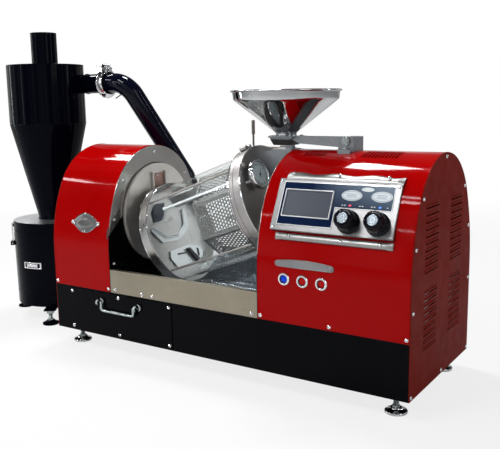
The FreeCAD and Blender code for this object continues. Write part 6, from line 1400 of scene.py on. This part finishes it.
def vents():
    """Pressed lips between the slits on the crown of the heater housing."""
    bm = bmesh.new()
    for first, count in ((CHAMBER_RIGHT + 46.0, 7), (CHAMBER_RIGHT + 187.0, 11)):
        for x in (first + 5.4 + 7.8 * i for i in range(count)):
            rows = []
            for share in (k / 10 for k in range(11)):
                y = -60 + 45 * share
                z = CROWN + math.sqrt(CROWN_RADIUS ** 2 - y ** 2)
                rise = 1.1 * min(1.0, math.sin(math.pi * share) * 3)
                rows.append(ring_of(bm, [(x - 2.2 + 1.1 * j, MIDDLE + y,
                                          z + 0.05 + rise * math.sin(math.pi * j / 4))
                                         for j in range(5)]))
            stitch(bm, rows, around=False)
    piece("vent_lips", bm, red, angle=60)


TRAY_FLOOR = 90.0


def tray():
    """Finely perforated tray floor with a bright liner, a fold line and slanted stiffeners."""
    low, high = machine_box("cooling_tray")
    bm = bmesh.new()
    screen(bm, (low.x + 2, low.y + 2), (high.x - 2, high.y - 2), TRAY_FLOOR - 1.6, 2.2, Matrix())
    bmesh.ops.remove_doubles(bm, verts=bm.verts, dist=0.02)
    thicken(piece("tray_screen", bm, tray_sheen, angle=25), 0.8)
    back = machine_box("tray_walls")[1].y - 3.4
    liner = bmesh.new()
    path = [(back, TRAY_FLOOR), (back, 128.0), (back - 1.2, 130.0), (back, 132.0), (back, 176.0)]
    left, right = (ring_of(liner, [(x, y, z) for y, z in path])
                   for x in (CHAMBER_LEFT + 2.5, CHAMBER_RIGHT - 2.5))
    for k in range(len(path) - 1):
        liner.faces.new((left[k], right[k], right[k + 1], left[k + 1]))
    thicken(piece("tray_back_liner", liner, tray_sheen, angle=20), 0.8)
    rib = bmesh.new()
    for start, end, y_start, y_end, wide, high_rib in (
            (60, 20, low.y + 180, low.y + 30, 26, 5), (30, 10, high.y - 40, high.y - 66, 8, 3)):
        x0, x1 = CHAMBER_LEFT + start, CHAMBER_RIGHT - end
        corners = ((x0, y_start), (x1, y_end), (x1, y_end + wide), (x0, y_start + wide))
        prism(rib, [(x, y, TRAY_FLOOR) for x, y in corners], (0, 0, high_rib))
    piece("tray_stiffeners", rib, tray_sheen, bevel=0.8)


# ------------------------------------------------------------------ edge trim
HEM_DROP = 98


def trims():
    """Folded hem on the open edges of both housings, and dark slabs of painted shade for a slot in the
    left cover.
    """
    bm = bmesh.new()
    length = HEM_DROP + MEETING_LENGTH + CROWN_RADIUS * math.pi / 2 * 0.999
    front = [walk(length * k / 60 - HEM_DROP) for k in range(61)]
    back = [(DEPTH - y, z) for y, z in reversed(front[:-1])]
    for x in (2.2, CHAMBER_LEFT - 2.2, CHAMBER_RIGHT + 2.2, BODY_RIGHT - 2.2):
        tube(bm, [(x, y, z) for y, z in front + back], 0.75, 8)
    piece("cover_hems", bm, red, angle=60)
    # Dark slabs of painted shade stand for the inside of the slot.
    dark = bmesh.new()
    for z, high in ((257.0, 267.6), (268.0, 275.6), (276.0, 283.6)):
        slab(dark, (195.0, skin(z) - 0.9, z), (199.8, skin(z) + 0.4, high))
    piece("left_slot_painted_shade", dark, ink, bevel=0.2)


screws()
feet()
console()
screen_trim()
film_keys()
console_screws()
strips()
knob(0, "left_knob", "knob_left", 180.0, 118)
knob(1, "right_knob", "knob_right", 245.0, 100)
for build in (buttons, plates, hopper, arm_details, spout_fittings, lever, drum_beads, rods, cage,
              end_fittings, cheeks, vanes, gauge, cyclone_details, clasp, latch_plate, clamp,
              pipe_details, handle, louvres, vents, tray, trims):
    build()


# ------------------------------------------------------------------ floor, light and camera
FLOOR_REACH = 14.0


def floor():
    """Pale floor that turns into the white studio far away from the machine."""
    m = new_look("pale_floor")
    m.set(Base_Color=m.blend(m.drift(40.0, 4.0), (0.62, 0.62, 0.62), (0.66, 0.66, 0.66)),
          Roughness=0.7, Specular_IOR_Level=0.1)
    shown, glossy = m.studio_rays()
    x, y, _ = m.separate()
    far = m.spread(m.length(x, y), 0.80, 1.0, 1.2, 3.0)
    share = m.math("MULTIPLY", m.math("MAXIMUM", shown, m.math("MULTIPLY", glossy, 0.2)), far)
    white = m.node("Emission", (("Color", (1, 1, 1)),))
    m.layer(share, m.shader, white, "Material Output")
    mesh = bpy.data.meshes.new("floor")
    bm = bmesh.new()
    bm.faces.new(ring_of(bm, [(x * FLOOR_REACH, y * FLOOR_REACH, 0)
                              for x, y in ((-1, -1), (1, -1), (1, 1), (-1, 1))]))
    bm.to_mesh(mesh)
    bm.free()
    mesh.materials.append(m.owner)
    obj = bpy.data.objects.new("floor", mesh)
    bpy.context.scene.collection.objects.link(obj)


AMBIENT = 0.18


def world():
    """Plain pale light, with soft folds that show in gloss alone and white behind it all."""
    studio = bpy.data.worlds.new("studio")
    bpy.context.scene.world = studio
    studio.use_nodes = True
    m = Look(studio, "Background", "Generated")
    shown, glossy = m.studio_rays()
    height = m.spread(m.separate()[2], 1.0, 0.16, 0.10, 0.42)
    folds = m.spread(m.noise(4.6, 2.0, 0.5, (1, 1, 0.12)), 0.16, 1.0, 0.43, 0.54)
    gleam = m.mix(glossy, AMBIENT, m.math("MULTIPLY", height, folds))
    m.set(Strength=m.mix(shown, gleam, 1.0), Color=(1, 1, 1))


def lamp(name, place, target, size, power, colour=(1, 1, 1)):
    data = bpy.data.lights.new(name, "AREA")
    data.shape = "RECTANGLE"
    data.size, data.size_y = size
    data.energy = power
    data.color = colour
    obj = bpy.data.objects.new(name, data)
    obj.location = row(*place)
    obj.rotation_euler = (row(*target) - row(*place)).to_track_quat("-Z", "Y").to_euler()
    bpy.context.scene.collection.objects.link(obj)


FOCAL_PIXELS = 722.93
PICTURE_PIXELS = 500


def camera():
    data = bpy.data.cameras.new("camera")
    data.sensor_width = 36.0
    data.lens = FOCAL_PIXELS * data.sensor_width / PICTURE_PIXELS
    data.clip_end = 100
    obj = bpy.data.objects.new("camera", data)
    right = Vector((0.83571552, 0.54892029, -0.01631235))
    down = Vector((0.07842367, -0.14869205, -0.98576894))
    forward = Vector((-0.54353408, 0.82254313, -0.1673126))
    turn = Matrix((right, -down, -forward)).transposed().to_4x4()
    obj.matrix_world = Matrix.Translation(row(1486.38, -1295.95, 593.25)) @ turn
    bpy.context.scene.collection.objects.link(obj)
    bpy.context.scene.camera = obj


COOL = (0.85, 0.92, 1.0)
floor()
world()
lamp("crown_right", (-60, 740, 2400), (500, 150, 450), (0.40, 0.46), 44)
lamp("crown_left", (-1720, 700, 2400), (150, 150, 450), (0.55, 0.32), 32)
lamp("front_near", (-30, -1360, 2400), (500, 50, 300), (0.90, 0.10), 17)
lamp("front_far", (-30, -1760, 2400), (500, 50, 300), (0.90, 0.10), 17)
lamp("front_left", (-2700, -1780, 2400), (100, 50, 350), (1.30, 0.10), 22)
lamp("thin_strip", (-450, -2350, 1565), (400, 0, 300), (1.5, 0.03), 6)
lamp("cyclone_edge", (-2600, -300, 900), (-230, 210, 450), (0.04, 1.9), 9, (0.85, 1.0, 1.0))
lamp("cyclone_soft", (-1500, -2300, 900), (-230, 210, 450), (0.06, 1.7), 5, COOL)
lamp("side", (3000, -700, 1500), (800, 100, 250), (1.0, 1.6), 10)
lamp("fill", (700, -2600, 1900), (400, 0, 250), (2.0, 1.2), 4)
lamp("pipe_edge", (2400, 1500, 1500), (20, 330, 560), (0.05, 1.8), 8, COOL)
camera()
bpy.context.scene.view_settings.view_transform = "Standard"
